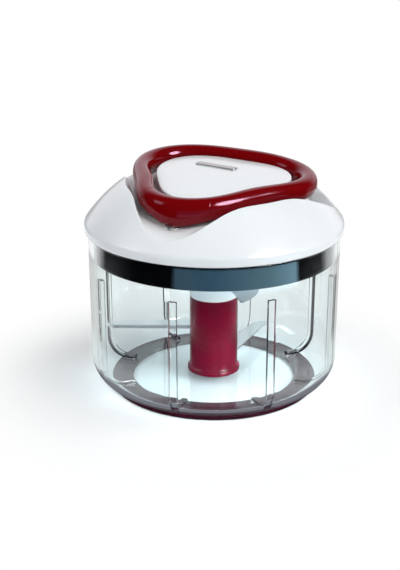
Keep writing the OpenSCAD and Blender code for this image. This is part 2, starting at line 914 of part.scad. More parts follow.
// One section of the ring: a rounded oval, its lower half drawn down where the beak is
function ring_section(a, drop) = [for (j = [0 : section_points - 1])
    let (t = 360 * j / section_points,
        half_width = ring_half_width + (cos(t) < -0.001 ? inner_swell * corner_swell(a) : 0),
        half_height = ring_half_height + (sin(t) < 0 ? drop : upper_swell * corner_swell(a)),
        x = half_width * oval(cos(t)),
        z = half_height * oval(sin(t)))
        polar(ring_r(a) + x, a, ring_z(a) + z)];
function oval(c) = sign(c) * pow(abs(c), 2 / ring_power);

// Stretch of the ring between two directions
module ring_stretch(from, to, steps, beaked) {
    swept([for (i = [0 : steps])
        let (a = from + (to - from) * i / steps)
            ring_section(a, beaked ? beak(a) - beak(handle_turn + seam_half) : 0)], false);
}

// Steel dowels across the two seams of the cord corner
module dowels_shape(r, length) {
    for (side = [-1, 1]) {
        a = handle_turn + side * seam_half;
        way = polar(ring_r(a + 1), a + 1, ring_z(a + 1)) - polar(ring_r(a - 1), a - 1, ring_z(a - 1));
        translate(polar(ring_r(a), a, ring_z(a)))
            rotate([0, acos(way[2] / norm(way)), atan2(way[1], way[0])])
                translate([0, 0, -length / 2])
                    cylinder(r = r, h = length, $fn = 32);
    }
}

// Red pull handle, all but its cord corner
module handle_ring() {
    color(handle_red)
        on_lid()
            difference() {
                ring_stretch(handle_turn + seam_half + seam_gap, handle_turn + 360 - seam_half - seam_gap, 80,
                    false);
                dowels_shape(dowel_radius + fit, dowel_length + 0.4);
            }
}

module corner_stretch() {
    ring_stretch(handle_turn - seam_half + seam_gap, handle_turn + seam_half - seam_gap, 20, true);
}

// Cord corner of the handle, with its beak and the chamber for the cord's knot
module handle_corner() {
    color(handle_red)
        on_lid()
            difference() {
                corner_stretch();
                dowels_shape(dowel_radius + fit, dowel_length + 0.4);
                translate([exit_x, exit_y, 0])
                    disc(chamber_radius, 0, chamber_top);
            }
}

module corner_dowels() {
    color(steel)
        on_lid()
            dowels_shape(dowel_radius, dowel_length);
}

chamber_rise = 3;
chamber_top = ring_z(handle_turn) + chamber_rise;
plug_tall = 4;
plug_top = ring_foot(handle_turn) + plug_tall;
knot_radius = 2.6;

// Bored plug that keeps the knot in its chamber, its lower end flush with the beak
module knot_plug() {
    color(handle_red)
        on_lid()
            difference() {
                intersection() {
                    corner_stretch();
                    translate([exit_x, exit_y, 0])
                        disc(chamber_radius - fit, 0, plug_top);
                }
                translate([exit_x, exit_y, 0])
                    disc(cord_radius + easy_gap, 0, plug_top + 1);
            }
}

// Knot at the cord's end
module cord_knot() {
    color(cord_white)
        on_lid()
            translate([exit_x, exit_y, plug_top + 0.1 + knot_radius])
                sphere(r = knot_radius);
}

// Short upright stretch of cord between the eyelet and the knot
module pull_cord() {
    color(cord_white)
        on_lid()
            translate([exit_x, exit_y, 0])
                disc(cord_radius, eyelet_top + 0.05, plug_top + 0.1);
}

bowl();
base_ring();
centre_pin();
blade_shaft();
shaft_bush();
shaft_collar();
low_blade();
middle_blade();
upper_blade();
lid_dome();
lid_skirt();
lid_seal();
under_plate();
plate_screws();
housing();
housing_screws();
spool_axle();
recoil_spring();
centre_cap();
badge_plate();
drive_hub();
cord_spool();
cord_winding();
pawl_pins();
pawl_1();
pawl_2();
guide_roller();
roller_pin();
roller_bracket();
cord_lead();
cord_eyelet();
handle_ring();
handle_corner();
corner_dowels();
knot_plug();
cord_knot();
pull_cord();
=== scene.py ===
import math

import bmesh
import bpy
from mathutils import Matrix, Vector


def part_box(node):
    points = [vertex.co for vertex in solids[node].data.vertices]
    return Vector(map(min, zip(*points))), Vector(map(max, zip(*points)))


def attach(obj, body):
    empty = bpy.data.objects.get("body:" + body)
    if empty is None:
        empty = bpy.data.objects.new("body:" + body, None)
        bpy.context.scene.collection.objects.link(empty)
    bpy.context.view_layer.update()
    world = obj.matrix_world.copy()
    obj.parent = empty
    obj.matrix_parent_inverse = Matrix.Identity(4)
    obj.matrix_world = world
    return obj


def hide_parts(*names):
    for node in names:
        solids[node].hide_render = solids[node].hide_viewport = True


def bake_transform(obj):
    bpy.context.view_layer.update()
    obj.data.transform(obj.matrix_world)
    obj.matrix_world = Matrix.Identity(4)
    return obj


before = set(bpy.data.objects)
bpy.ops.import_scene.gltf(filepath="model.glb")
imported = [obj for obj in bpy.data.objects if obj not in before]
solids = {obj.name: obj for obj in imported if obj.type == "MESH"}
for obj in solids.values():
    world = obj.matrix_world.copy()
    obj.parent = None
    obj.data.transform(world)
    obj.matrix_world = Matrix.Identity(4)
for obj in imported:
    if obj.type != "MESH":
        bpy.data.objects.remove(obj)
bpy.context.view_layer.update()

# Non-slip ring: a maroon rubber ring under the bowl, moulded with a tongue that sits in the bowl's
# groove. Its underside carries three shallow tread grooves; its outer edge is softly rounded.

MM = 0.001
FOOT_INNER, FOOT_OUTER, FOOT_TOP = 49.5, 63.0, 2.38
TREAD_AT, TREAD_HALF, TREAD_DEEP = (52.5, 56.0, 59.5), 0.5, 0.5


def rounded(corners, steps=5):
    """Outline through (r, z, fillet) corners, each fillet an arc-like curve of that tangent length."""
    line = []
    for i, (r, z, fillet) in enumerate(corners):
        here = Vector((r, z))
        if fillet <= 0:
            line.append((r, z))
            continue
        before = Vector(corners[i - 1][:2])
        after = Vector(corners[(i + 1) % len(corners)][:2])
        first = here + (before - here).normalized() * fillet
        last = here + (after - here).normalized() * fillet
        for k in range(steps + 1):
            t = k / steps
            p = first * (1 - t) ** 2 + here * 2 * t * (1 - t) + last * t * t
            line.append((p.x, p.y))
    return line


def piece_from(name, points, faces, crease=38.0):
    """Object from points in millimetres, smooth but for edges sharper than the crease angle."""
    mesh = bpy.data.meshes.new(name)
    mesh.from_pydata([(x * MM, y * MM, z * MM) for x, y, z in points], [], faces)
    work = bmesh.new()
    work.from_mesh(mesh)
    bmesh.ops.remove_doubles(work, verts=work.verts, dist=2e-7)
    bmesh.ops.dissolve_degenerate(work, edges=work.edges, dist=1e-8)
    bmesh.ops.recalc_face_normals(work, faces=work.faces)
    work.to_mesh(mesh)
    work.free()
    mesh.shade_smooth()
    mesh.set_sharp_from_angle(angle=math.radians(crease))
    piece = bpy.data.objects.new(name, mesh)
    bpy.context.scene.collection.objects.link(piece)
    return piece


def sweep_faces(rows, columns, rows_join):
    """Quads between rows of points; each row closes on itself, and the last one may join the first."""
    faces = []
    for i in range(rows if rows_join else rows - 1):
        for j in range(columns):
            k, m = (i + 1) % rows, (j + 1) % columns
            faces.append((i * columns + j, i * columns + m, k * columns + m, k * columns + j))
    return faces


def turned(name, outline, steps, centre=(0.0, 0.0)):
    """Body of revolution of a closed outline of (r, z) points round a vertical axis."""
    points = []
    for i in range(steps):
        a = 2 * math.pi * i / steps
        points += [(centre[0] + r * math.cos(a), centre[1] + r * math.sin(a), z) for r, z in outline]
    return piece_from(name, points, sweep_faces(steps, len(outline), True))


def set_values(node, values):
    """Sets plain values on a node's sockets; an underscore in a key stands for a space."""
    for key, value in values.items():
        node.inputs[key.replace("_", " ")].default_value = value


def add(tree, kind, settings=None, **sockets):
    """New shader node with its settings and the plain values of its sockets."""
    made = tree.nodes.new(kind)
    for key, value in (settings or {}).items():
        setattr(made, key, value)
    set_values(made, sockets)
    return made


def maths(tree, operation, first, second=0.0, clamp=False):
    """Result socket of a Math node; each operand is a number or a socket."""
    made = add(tree, "ShaderNodeMath", {"operation": operation, "use_clamp": clamp})
    for i, operand in enumerate((first, second)):
        if isinstance(operand, (int, float)):
            made.inputs[i].default_value = operand
        else:
            tree.links.new(operand, made.inputs[i])
    return made.outputs[0]


def mixed(tree, factor, first, second):
    """Colour socket between two colours, each a colour value or a socket."""
    made = add(tree, "ShaderNodeMix", {"data_type": "RGBA"})
    for socket, value in ((made.inputs[0], factor), (made.inputs[6], first), (made.inputs[7], second)):
        if isinstance(value, bpy.types.NodeSocket):
            tree.links.new(value, socket)
        else:
            socket.default_value = value
    return made.outputs[2]


def detail_group(name, inputs, outputs):
    """Empty shader node group with named sockets; inputs are (name, socket type, value)."""
    tree = bpy.data.node_groups.new(name, "ShaderNodeTree")
    for label, kind, value in inputs:
        made = tree.interface.new_socket(name=label, in_out="INPUT", socket_type=kind)
        made.default_value = value
    for label, kind in outputs:
        tree.interface.new_socket(name=label, in_out="OUTPUT", socket_type=kind)
    return tree, tree.nodes.new("NodeGroupInput"), tree.nodes.new("NodeGroupOutput")


NUMBER, COLOUR = "NodeSocketFloat", "NodeSocketColor"

# Cloudy tone and fine skin of a moulding: slow changes of shade, a slight orange-peel height
moulded, group_in, group_out = detail_group(
    "moulded_skin",
    [("Colour", COLOUR, (0.8, 0.8, 0.8, 1)), ("Shade", COLOUR, (0.7, 0.7, 0.7, 1)), ("Cloud", NUMBER, 0.3),
     ("Cloud Scale", NUMBER, 30.0), ("Roughness", NUMBER, 0.2), ("Swing", NUMBER, 0.05),
     ("Peel Scale", NUMBER, 700.0)],
    [("Colour", COLOUR), ("Roughness", NUMBER), ("Height", NUMBER)])
place = add(moulded, "ShaderNodeTexCoord")
cloud = add(moulded, "ShaderNodeTexNoise", Detail=3.0, Roughness=0.55)
peel = add(moulded, "ShaderNodeTexNoise", Detail=2.0, Roughness=0.5)
for texture, scale in ((cloud, "Cloud Scale"), (peel, "Peel Scale")):
    moulded.links.new(place.outputs["Object"], texture.inputs["Vector"])
    moulded.links.new(group_in.outputs[scale], texture.inputs["Scale"])
amount = maths(moulded, "MULTIPLY", cloud.outputs["Fac"], group_in.outputs["Cloud"])
moulded.links.new(mixed(moulded, amount, group_in.outputs["Colour"], group_in.outputs["Shade"]),
                  group_out.inputs["Colour"])
drift = maths(moulded, "MULTIPLY", maths(moulded, "SUBTRACT", cloud.outputs["Fac"], 0.5),
              group_in.outputs["Swing"])
moulded.links.new(maths(moulded, "ADD", group_in.outputs["Roughness"], drift), group_out.inputs["Roughness"])
moulded.links.new(peel.outputs["Fac"], group_out.inputs["Height"])

# Rubbed edges: where the surface turns sharply outwards, broken up by noise
edge_rub, group_in, group_out = detail_group(
    "edge_rub", [("Start", NUMBER, 0.52), ("Width", NUMBER, 0.08), ("Breakup Scale", NUMBER, 400.0)],
    [("Mask", NUMBER)])
shape = add(edge_rub, "ShaderNodeNewGeometry")
place = add(edge_rub, "ShaderNodeTexCoord")
breakup = add(edge_rub, "ShaderNodeTexNoise", Detail=4.0)
edge_rub.links.new(place.outputs["Object"], breakup.inputs["Vector"])
edge_rub.links.new(group_in.outputs["Breakup Scale"], breakup.inputs["Scale"])
past = maths(edge_rub, "SUBTRACT", shape.outputs["Pointiness"], group_in.outputs["Start"])
sharp = maths(edge_rub, "DIVIDE", past, group_in.outputs["Width"], clamp=True)
edge_rub.links.new(maths(edge_rub, "MULTIPLY", sharp, breakup.outputs["Fac"], clamp=True),
                   group_out.inputs["Mask"])


def place_group(tree, group, **values):
    """Node of a group in a material, with its own plain values."""
    made = tree.nodes.new("ShaderNodeGroup")
    made.node_tree = group
    set_values(made, values)
    return made


def new_finish(name, **sockets):
    """Material with one Principled shader, its plain values set on the shader itself."""
    material = bpy.data.materials.new(name)
    material.use_nodes = True
    shader = material.node_tree.nodes["Principled BSDF"]
    set_values(shader, sockets)
    return material, material.node_tree, shader


def bump_from(tree, shader, height, strength, depth):
    """Feeds the shader's normal from a height, depth in metres."""
    made = add(tree, "ShaderNodeBump", Strength=strength, Distance=depth)
    tree.links.new(height, made.inputs["Height"])
    tree.links.new(made.outputs["Normal"], shader.inputs["Normal"])


def moulded_finish(name, colour, shade, rough, cloud=0.4, swing=0.06, peel=700.0, depth=0.00002,
                   rub=None, **sockets):
    """Moulded plastic or rubber: clouded colour, uneven gloss, fine skin and, if asked, rubbed edges."""
    material, tree, shader = new_finish(name, **sockets)
    skin = place_group(tree, moulded, Colour=(*colour, 1), Shade=(*shade, 1), Cloud=cloud, Roughness=rough,
                       Swing=swing, Peel_Scale=peel)
    tone = skin.outputs["Colour"]
    if rub:
        worn = place_group(tree, edge_rub)
        tone = mixed(tree, worn.outputs["Mask"], tone, (*rub, 1))
    tree.links.new(tone, shader.inputs["Base Color"])
    tree.links.new(skin.outputs["Roughness"], shader.inputs["Roughness"])
    bump_from(tree, shader, skin.outputs["Height"], 0.35, depth)
    return material


def fit(piece, material, body, slot, *replaced):
    """Gives a piece its finish, sets it on its body and lets it stand for the solids it details."""
    piece.data.materials.clear()
    piece.data.materials.append(material)
    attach(piece, body)
    if replaced:
        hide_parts(*replaced)


def dress(node, material):
    """Gives a solid that stays in view its finish."""
    solids[node].data.materials.clear()
    solids[node].data.materials.append(material)


maroon_rubber = moulded_finish("maroon_rubber", (0.036, 0.003, 0.011), (0.024, 0.002, 0.008), 0.5,
                               peel=1500.0, depth=0.00005, rub=(0.06, 0.008, 0.02), Specular_IOR_Level=0.08)
tread = []
for groove in TREAD_AT:
    tread += [(groove - TREAD_HALF, 0.0, 0.0), (groove - 0.3, TREAD_DEEP, 0.1),
              (groove + 0.3, TREAD_DEEP, 0.1), (groove + TREAD_HALF, 0.0, 0.0)]
foot_ring = turned("foot_ring", rounded(
    [(FOOT_INNER, 0.0, 0.4)] + tread + [(FOOT_OUTER, 0.0, 0.9), (FOOT_OUTER, FOOT_TOP, 0.35),
                                        (FOOT_INNER, FOOT_TOP, 0.3)]), 160)
fit(foot_ring, maroon_rubber, "bowl", "maroon_rubber", "base_ring")

# Bowl: injection moulded in clear, hard plastic with a polished skin. Eight square-cut ribs stand
# inside the wall and run round the lower corner; a boss in the floor holds the blade unit's pin.

RIM_R, RIM_Z, RIM_LOW = 75.0, 96.6, 94.5
WALL, WALL_LEAN = 3.0, 0.0068
CORNER = 16.0
FLOOR_UNDER = 2.4
FLOOR_INSIDE = FLOOR_UNDER + WALL
SIDE_Z = FLOOR_UNDER + CORNER
SIDE_R = RIM_R - WALL_LEAN * (RIM_Z - SIDE_Z)
CORNER_R = SIDE_R - CORNER
RIBS, RIB_TURN, RIB_WIDTH, RIB_DEPTH, RIB_TOP = 8, 26.5, 4.7, 2.2, 74.5
RIB_INNER = 52.0
RIB_SOFT = 0.86
BOSS_R, BOSS_Z = 8.0, 9.0
PIN_R, PIN_SEAT = 4.0, 3.4
AXIS_R = 0.01


def cosd(a):
    """Cosine of an angle in degrees."""
    return math.cos(math.radians(a))


def sind(a):
    """Sine of an angle in degrees."""
    return math.sin(math.radians(a))


def wall_r(z, inset):
    """Radius of the leaning side wall at a height."""
    return SIDE_R - inset + (RIM_R - SIDE_R) * (z - SIDE_Z) / (RIM_Z - SIDE_Z)


def corner_line(inset, steps):
    """Lower corner from the floor to the side wall, set in from the outer surface."""
    radius = CORNER - inset
    turns = [-90 * (1 - k / steps) for k in range(steps + 1)]
    return [(CORNER_R + radius * cosd(a), SIDE_Z + radius * sind(a)) for a in turns]


# Each station is (r, z, rise of a rib there towards the inside, direction of that rise)
smooth_line = [(AXIS_R, FLOOR_UNDER), (25.0, FLOOR_UNDER), (48.0, FLOOR_UNDER)] + corner_line(0.0, 14)
smooth_line += [(wall_r(z, 0.0), z) for z in (30.0, 42.0, 54.0, 66.0, 78.0, 88.0, 94.0)]
smooth_line += rounded([(wall_r(RIM_LOW, 0.0), RIM_LOW, 0), (RIM_R, RIM_Z, 1.0), (RIM_R - WALL, RIM_Z, 1.0),
                        (wall_r(RIM_LOW, WALL), RIM_LOW, 0)], 4)
stations = [(r, z, 0.0, (0, 0)) for r, z in smooth_line]
for z, rise in ((90.0, 0), (84.0, 0), (78.0, 0), (75.5, 0), (RIB_TOP, 0), (RIB_TOP - 0.01, RIB_SOFT),
                (RIB_TOP - 0.3, 1), (70.0, 1), (62.0, 1), (52.0, 1), (42.0, 1), (32.0, 1), (24.0, 1)):
    stations.append((wall_r(z, WALL), z, rise * RIB_DEPTH, (-1, 0)))
for r, z in reversed(corner_line(WALL, 14)):
    inward = Vector((CORNER_R - r, SIDE_Z - z)).normalized()
    stations.append((r, z, RIB_DEPTH, tuple(inward)))
for r, rise in ((55.0, 1), (RIB_INNER + 0.3, 1), (RIB_INNER + 0.01, RIB_SOFT), (RIB_INNER, 0), (44.0, 0),
                (32.0, 0), (20.0, 0)):
    stations.append((r, FLOOR_INSIDE, rise * RIB_DEPTH, (0, 1)))
for r, z in rounded([(12.0, FLOOR_INSIDE, 0), (BOSS_R, FLOOR_INSIDE, 0.8), (BOSS_R, BOSS_Z, 0.5),
                     (PIN_R + 0.05, BOSS_Z, 0.3), (PIN_R + 0.05, PIN_SEAT, 0), (AXIS_R, PIN_SEAT, 0)], 3):
    stations.append((r, z, 0.0, (0, 0)))

rib_half = math.degrees(RIB_WIDTH / (RIM_R - WALL)) / 2
gap = 360 / RIBS - 2 * rib_half
GAP_STEPS = 15
columns = []
for k in range(RIBS):
    middle = RIB_TURN + 360 * k / RIBS
    for step, rise in ((-1.0, 0), (-0.995, RIB_SOFT), (-0.86, 1), (-0.45, 1), (0, 1), (0.45, 1), (0.86, 1),
                       (0.995, RIB_SOFT), (1.0, 0)):
        columns.append((middle + step * rib_half, rise))
    columns += [(middle + rib_half + gap * i / GAP_STEPS, 0) for i in range(1, GAP_STEPS)]
points = []
for turn, share in columns:
    c, s = cosd(turn), sind(turn)
    for r, z, rise, way in stations:
        out = r + way[0] * rise * share
        points.append((out * c, out * s, z + way[1] * rise * share))
clear_bowl = piece_from("clear_bowl", points, sweep_faces(len(columns), len(stations), True), 32.0)

# Hairline scratches: short thin strokes in two directions, with a soft haze between them
hairlines, group_in, group_out = detail_group(
    "hairlines", [("Scale", NUMBER, 60.0), ("Rarity", NUMBER, 0.72), ("Roughness", NUMBER, 0.02),
                  ("Haze", NUMBER, 0.03)],
    [("Roughness", NUMBER), ("Height", NUMBER)])
place = add(hairlines, "ShaderNodeTexCoord")
strokes = None
for turn, stretch in ((0.5, (1.0, 18.0, 18.0)), (-0.7, (16.0, 1.4, 16.0))):
    slant = add(hairlines, "ShaderNodeMapping", Rotation=(turn, 0.4 * turn, turn), Scale=stretch)
    stroke = add(hairlines, "ShaderNodeTexNoise", Detail=2.0)
    hairlines.links.new(place.outputs["Object"], slant.inputs["Vector"])
    hairlines.links.new(slant.outputs["Vector"], stroke.inputs["Vector"])
    hairlines.links.new(group_in.outputs["Scale"], stroke.inputs["Scale"])
    thin = maths(hairlines, "MULTIPLY", maths(hairlines, "SUBTRACT", stroke.outputs["Fac"],
                                              group_in.outputs["Rarity"]), 14.0, clamp=True)
    strokes = thin if strokes is None else maths(hairlines, "MAXIMUM", strokes, thin)
haze = add(hairlines, "ShaderNodeTexNoise", Scale=45.0, Detail=3.0)
hairlines.links.new(place.outputs["Object"], haze.inputs["Vector"])
veil = maths(hairlines, "MULTIPLY", haze.outputs["Fac"], group_in.outputs["Haze"])
dull = maths(hairlines, "ADD", maths(hairlines, "MULTIPLY", strokes, 0.12), veil)
hairlines.links.new(maths(hairlines, "ADD", group_in.outputs["Roughness"], dull),
                    group_out.inputs["Roughness"])
hairlines.links.new(strokes, group_out.inputs["Height"])

clear_plastic, tree, shader = new_finish(
    "clear_plastic", Base_Color=(0.93, 0.977, 0.98, 1), IOR=1.49, Transmission_Weight=1.0)
marks = place_group(tree, hairlines, Scale=70.0, Rarity=0.74, Roughness=0.0, Haze=0.02)
tree.links.new(marks.outputs["Roughness"], shader.inputs["Roughness"])
bump_from(tree, shader, marks.outputs["Height"], 0.1, 0.00001)
rays = add(tree, "ShaderNodeLightPath")
through = add(tree, "ShaderNodeBsdfTransparent", Color=(0.9, 0.94, 0.955, 1))
either = add(tree, "ShaderNodeMixShader")
tree.links.new(rays.outputs["Is Shadow Ray"], either.inputs["Fac"])
tree.links.new(shader.outputs["BSDF"], either.inputs[1])
tree.links.new(through.outputs["BSDF"], either.inputs[2])
tree.links.new(either.outputs["Shader"], tree.nodes["Material Output"].inputs["Surface"])
fit(clear_bowl, clear_plastic, "bowl", "clear_plastic", "bowl")

# Centre pin: a turned stainless pin pressed into the bowl's boss, its nose chamfered and rounded
# so that the blade unit drops over it easily.

PIN_TOP, NOSE = 24.0, 2

# Ground or turned metal: fine lines along one direction, uneven tone and gloss
ground_metal, group_in, group_out = detail_group(
    "ground_metal", [("Colour", COLOUR, (0.7, 0.7, 0.7, 1)), ("Dark", COLOUR, (0.5, 0.5, 0.5, 1)),
                     ("Roughness", NUMBER, 0.25), ("Along X", NUMBER, 60.0), ("Along Y", NUMBER, 2500.0),
                     ("Along Z", NUMBER, 2500.0), ("Turn", NUMBER, 0.0)],
    [("Colour", COLOUR), ("Roughness", NUMBER), ("Height", NUMBER)])
place = add(ground_metal, "ShaderNodeTexCoord")
spin = add(ground_metal, "ShaderNodeVectorRotate", {"rotation_type": "Z_AXIS"})
ground_metal.links.new(place.outputs["Object"], spin.inputs["Vector"])
ground_metal.links.new(group_in.outputs["Turn"], spin.inputs["Angle"])
pull = add(ground_metal, "ShaderNodeCombineXYZ")
for axis in "XYZ":
    ground_metal.links.new(group_in.outputs["Along " + axis], pull.inputs[axis])
spread = add(ground_metal, "ShaderNodeVectorMath", {"operation": "MULTIPLY"})
ground_metal.links.new(spin.outputs["Vector"], spread.inputs[0])
ground_metal.links.new(pull.outputs["Vector"], spread.inputs[1])
lines = add(ground_metal, "ShaderNodeTexNoise", Scale=1.0, Detail=3.0)
tone = add(ground_metal, "ShaderNodeTexNoise", Scale=90.0, Detail=2.0)
ground_metal.links.new(spread.outputs["Vector"], lines.inputs["Vector"])
ground_metal.links.new(place.outputs["Object"], tone.inputs["Vector"])
share = maths(ground_metal, "MULTIPLY", maths(ground_metal, "ADD", lines.outputs["Fac"],
                                              tone.outputs["Fac"]), 0.5)
ground_metal.links.new(mixed(ground_metal, share, group_in.outputs["Dark"], group_in.outputs["Colour"]),
                       group_out.inputs["Colour"])
swing = maths(ground_metal, "MULTIPLY", maths(ground_metal, "SUBTRACT", lines.outputs["Fac"], 0.5), 0.22)
ground_metal.links.new(maths(ground_metal, "ADD", group_in.outputs["Roughness"], swing),
                       group_out.inputs["Roughness"])
ground_metal.links.new(lines.outputs["Fac"], group_out.inputs["Height"])


def metal_finish(name, colour, dark, rough, along=(60.0, 2500.0, 2500.0), turn=0.0):
    """Bare metal with its grinding or turning lines."""
    material, tree, shader = new_finish(name, Metallic=1.0)
    lines = place_group(tree, ground_metal, Colour=(*colour, 1), Dark=(*dark, 1), Roughness=rough,
                        Along_X=along[0], Along_Y=along[1], Along_Z=along[2], Turn=turn)
    tree.links.new(lines.outputs["Colour"], shader.inputs["Base Color"])
    tree.links.new(lines.outputs["Roughness"], shader.inputs["Roughness"])
    bump_from(tree, shader, lines.outputs["Height"], 0.3, 0.00001)
    return material


bright_steel = metal_finish("bright_steel", (0.74, 0.75, 0.76), (0.52, 0.53, 0.55), 0.22,
                            (200.0, 200.0, 4000.0))
centre_pin = turned("turned_pin", rounded([
    (AXIS_R, PIN_SEAT, 0), (PIN_R, PIN_SEAT, 0.3), (PIN_R, PIN_TOP - NOSE, 1.0), (PIN_R - NOSE, PIN_TOP, 0.8),
    (AXIS_R, PIN_TOP, 0)]), 64)
fit(centre_pin, bright_steel, "bowl", "bright_steel", "centre_pin")

# Blade shaft: a hollow burgundy moulding with a flared foot. It turns on a grey bush pressed into
# its foot, and two of the blades are moulded into its wall.

SHAFT_R, FLARE, SHAFT_LOW = 14.6, 1.4, 6.4
COLLAR_LOW, COLLAR_TOP = 54.4, 82.0
SHAFT_TOP = COLLAR_LOW - 0.06
SPIGOT_R, SPIGOT_LOW = 9.0, COLLAR_LOW - 9
SOCKET_R, SOCKET_LOW = 9.03, COLLAR_LOW - 9.06
BORE_R = 7.03
BUSH_R, BUSH_TOP = 9.4, 9.3

burgundy = moulded_finish("burgundy_plastic", (0.155, 0.0006, 0.016), (0.100, 0.0005, 0.013), 0.2, cloud=0.7,
                          swing=0.08, rub=(0.19, 0.012, 0.04), Specular_IOR_Level=0.3)
grey_moulding = moulded_finish("grey_plastic", (0.36, 0.38, 0.40), (0.28, 0.30, 0.32), 0.38, peel=1200.0,
                               depth=0.00004)
blade_shaft = turned("burgundy_shaft", rounded([
    (BUSH_R, SHAFT_LOW, 0.2), (SHAFT_R + FLARE, SHAFT_LOW, 0.5), (SHAFT_R + FLARE, SHAFT_LOW + 2.4, 0.7),
    (SHAFT_R, SHAFT_LOW + 3.6, 0.9), (SHAFT_R, SHAFT_TOP, 0.35), (SOCKET_R, SHAFT_TOP, 0),
    (SOCKET_R, SOCKET_LOW, 0), (BORE_R, SOCKET_LOW, 0), (BORE_R, BUSH_TOP, 0), (BUSH_R, BUSH_TOP, 0)]), 128)
fit(blade_shaft, burgundy, "blades", "burgundy_plastic", "blade_shaft")
dress("shaft_bush", grey_moulding)

# Collar: the white upper half of the blade unit, plugged into the shaft. It carries the short swept
# blade and ends in a hexagonal head with softened edges, which the lid's hub drives.

white_gloss = moulded_finish("white_plastic", (0.84, 0.875, 0.895), (0.79, 0.83, 0.855), 0.17, cloud=0.5,
                             swing=0.05, depth=0.000012, rub=(0.88, 0.90, 0.91), Coat_Weight=0.15)
collar = turned("white_collar", rounded([
    (AXIS_R, SPIGOT_LOW, 0), (SPIGOT_R, SPIGOT_LOW, 0.5), (SPIGOT_R, COLLAR_LOW, 0),
    (SHAFT_R, COLLAR_LOW, 0.35), (SHAFT_R, COLLAR_TOP, 0.6), (AXIS_R, COLLAR_TOP, 0)]), 128)
fit(collar, white_gloss, "blades", "white_plastic", "shaft_collar")


def bar_faces(rows, columns):
    """Quads between rows of points that close on themselves, and a face at each end."""
    last = (rows - 1) * columns
    ends = [tuple(range(columns)), tuple(reversed(range(last, last + columns)))]
    return sweep_faces(rows, columns, False) + ends


HEAD_R, HEAD_TOP = 9.0, COLLAR_TOP + 9.0
CORNER_EASE = 0.985
head_rings = []
for z, shrink in ((COLLAR_TOP - 1, 0.0), (HEAD_TOP - 0.9, 0.0), (HEAD_TOP - 0.25, 0.3), (HEAD_TOP, 0.9)):
    ring = []
    for corner in range(6):
        for step in (-8, 0, 8):
            a = 60 * corner + step
            reach = HEAD_R * (1.0 if step else CORNER_EASE) * cosd(30) / cosd(30 - abs(step)) - shrink
            ring.append((reach * cosd(a), reach * sind(a), z))
    head_rings.append(ring)
drive_head = piece_from("collar_head", [p for ring in head_rings for p in ring],
                        bar_faces(len(head_rings), len(head_rings[0])))
fit(drive_head, white_gloss, "blades", "white_plastic")

# Blades: stamped from stainless strip, the front edge ground to a bevel. Two long straight blades sit
# low and half way up the shaft; a short one in the collar sweeps back to a point.

BLADE_THICK, BLADE_START, BLADE_REACH = 1.2, 13.0, 65.93
BEVEL, EDGE_THICK = 2.4, 0.18
FRONT_Y, BACK_Y, TAPER = 5.0, -8.8, 5.8
TIP_R = 6
SWEPT_TIP = (BLADE_REACH - 8.5, -16.0)
SWEPT_STEPS = 24


def blade_from(name, front, back, height, turn):
    """Blade between a front and a back line in plan: flat, with a ground bevel along the front."""
    c, s = cosd(turn), sind(turn)
    rows = []
    for (fx, fy), (bx, by) in zip(front, back):
        across = Vector((bx - fx, by - fy))
        width = across.length
        way = across.normalized()
        grind = min(BEVEL, 0.6 * width)
        soft = min(0.25, 0.1 * width)
        section = [(0.0, EDGE_THICK * 0.5), (0.06, EDGE_THICK), (grind, BLADE_THICK),
                   (width - soft, BLADE_THICK), (width, BLADE_THICK - soft), (width, soft),
                   (width - soft, 0.0), (0.06, 0.0)]
        for d, z in section:
            x, y = fx + way.x * d, fy + way.y * d
            rows.append((x * c - y * s, x * s + y * c, height + z))
    return piece_from(name, rows, bar_faces(len(front), len(section)), 20.0)


def bend(p, q, r, t):
    """Point on the curve that leaves p towards q and reaches r."""
    return tuple(a * (1 - t) ** 2 + 2 * b * t * (1 - t) + c * t * t for a, b, c in zip(p, q, r))


long_front = [(BLADE_START - 3, FRONT_Y), (BLADE_START + 8, FRONT_Y), (30.0, FRONT_Y), (45.0, FRONT_Y)]
long_front += [(BLADE_REACH - TIP_R + TIP_R * sind(a), FRONT_Y - TIP_R + TIP_R * cosd(a))
               for a in range(0, 91, 10)]
long_back = []
for x, _ in long_front:
    share = (x - BLADE_START) / (BLADE_REACH - BLADE_START)
    long_back.append((x, BACK_Y + TAPER * max(0.0, min(1.0, share))))
swept_front = [bend((BLADE_START, 8.0), (BLADE_REACH - 18.9, 16.0), SWEPT_TIP, i / SWEPT_STEPS)
               for i in range(SWEPT_STEPS)]
swept_back = [bend((BLADE_START, -8.0), (BLADE_REACH - 28, -9.0), SWEPT_TIP, i / SWEPT_STEPS)
              for i in range(SWEPT_STEPS)]
for name, front, back, height, turn in (("low_blade", long_front, long_back, 14.0, 60.0),
                                        ("middle_blade", long_front, long_back, 34.0, 180.0),
                                        ("upper_blade", swept_front, swept_back, 70.0, 300.0)):
    steel = metal_finish(name + "_steel", (0.88, 0.90, 0.91), (0.72, 0.74, 0.76), 0.2,
                         turn=-math.radians(turn))
    blade = blade_from(name + "_ground", front, back, height, turn)
    fit(blade, steel, "blades", "blade_steel", name)

# Lid: a thin glossy white moulding. Its dome rises in three petals round a sunken channel in which the
# pull handle lies. Between the petals three valleys run out towards the rim, and under the handle's right
# corner the channel is a finger's depth lower.

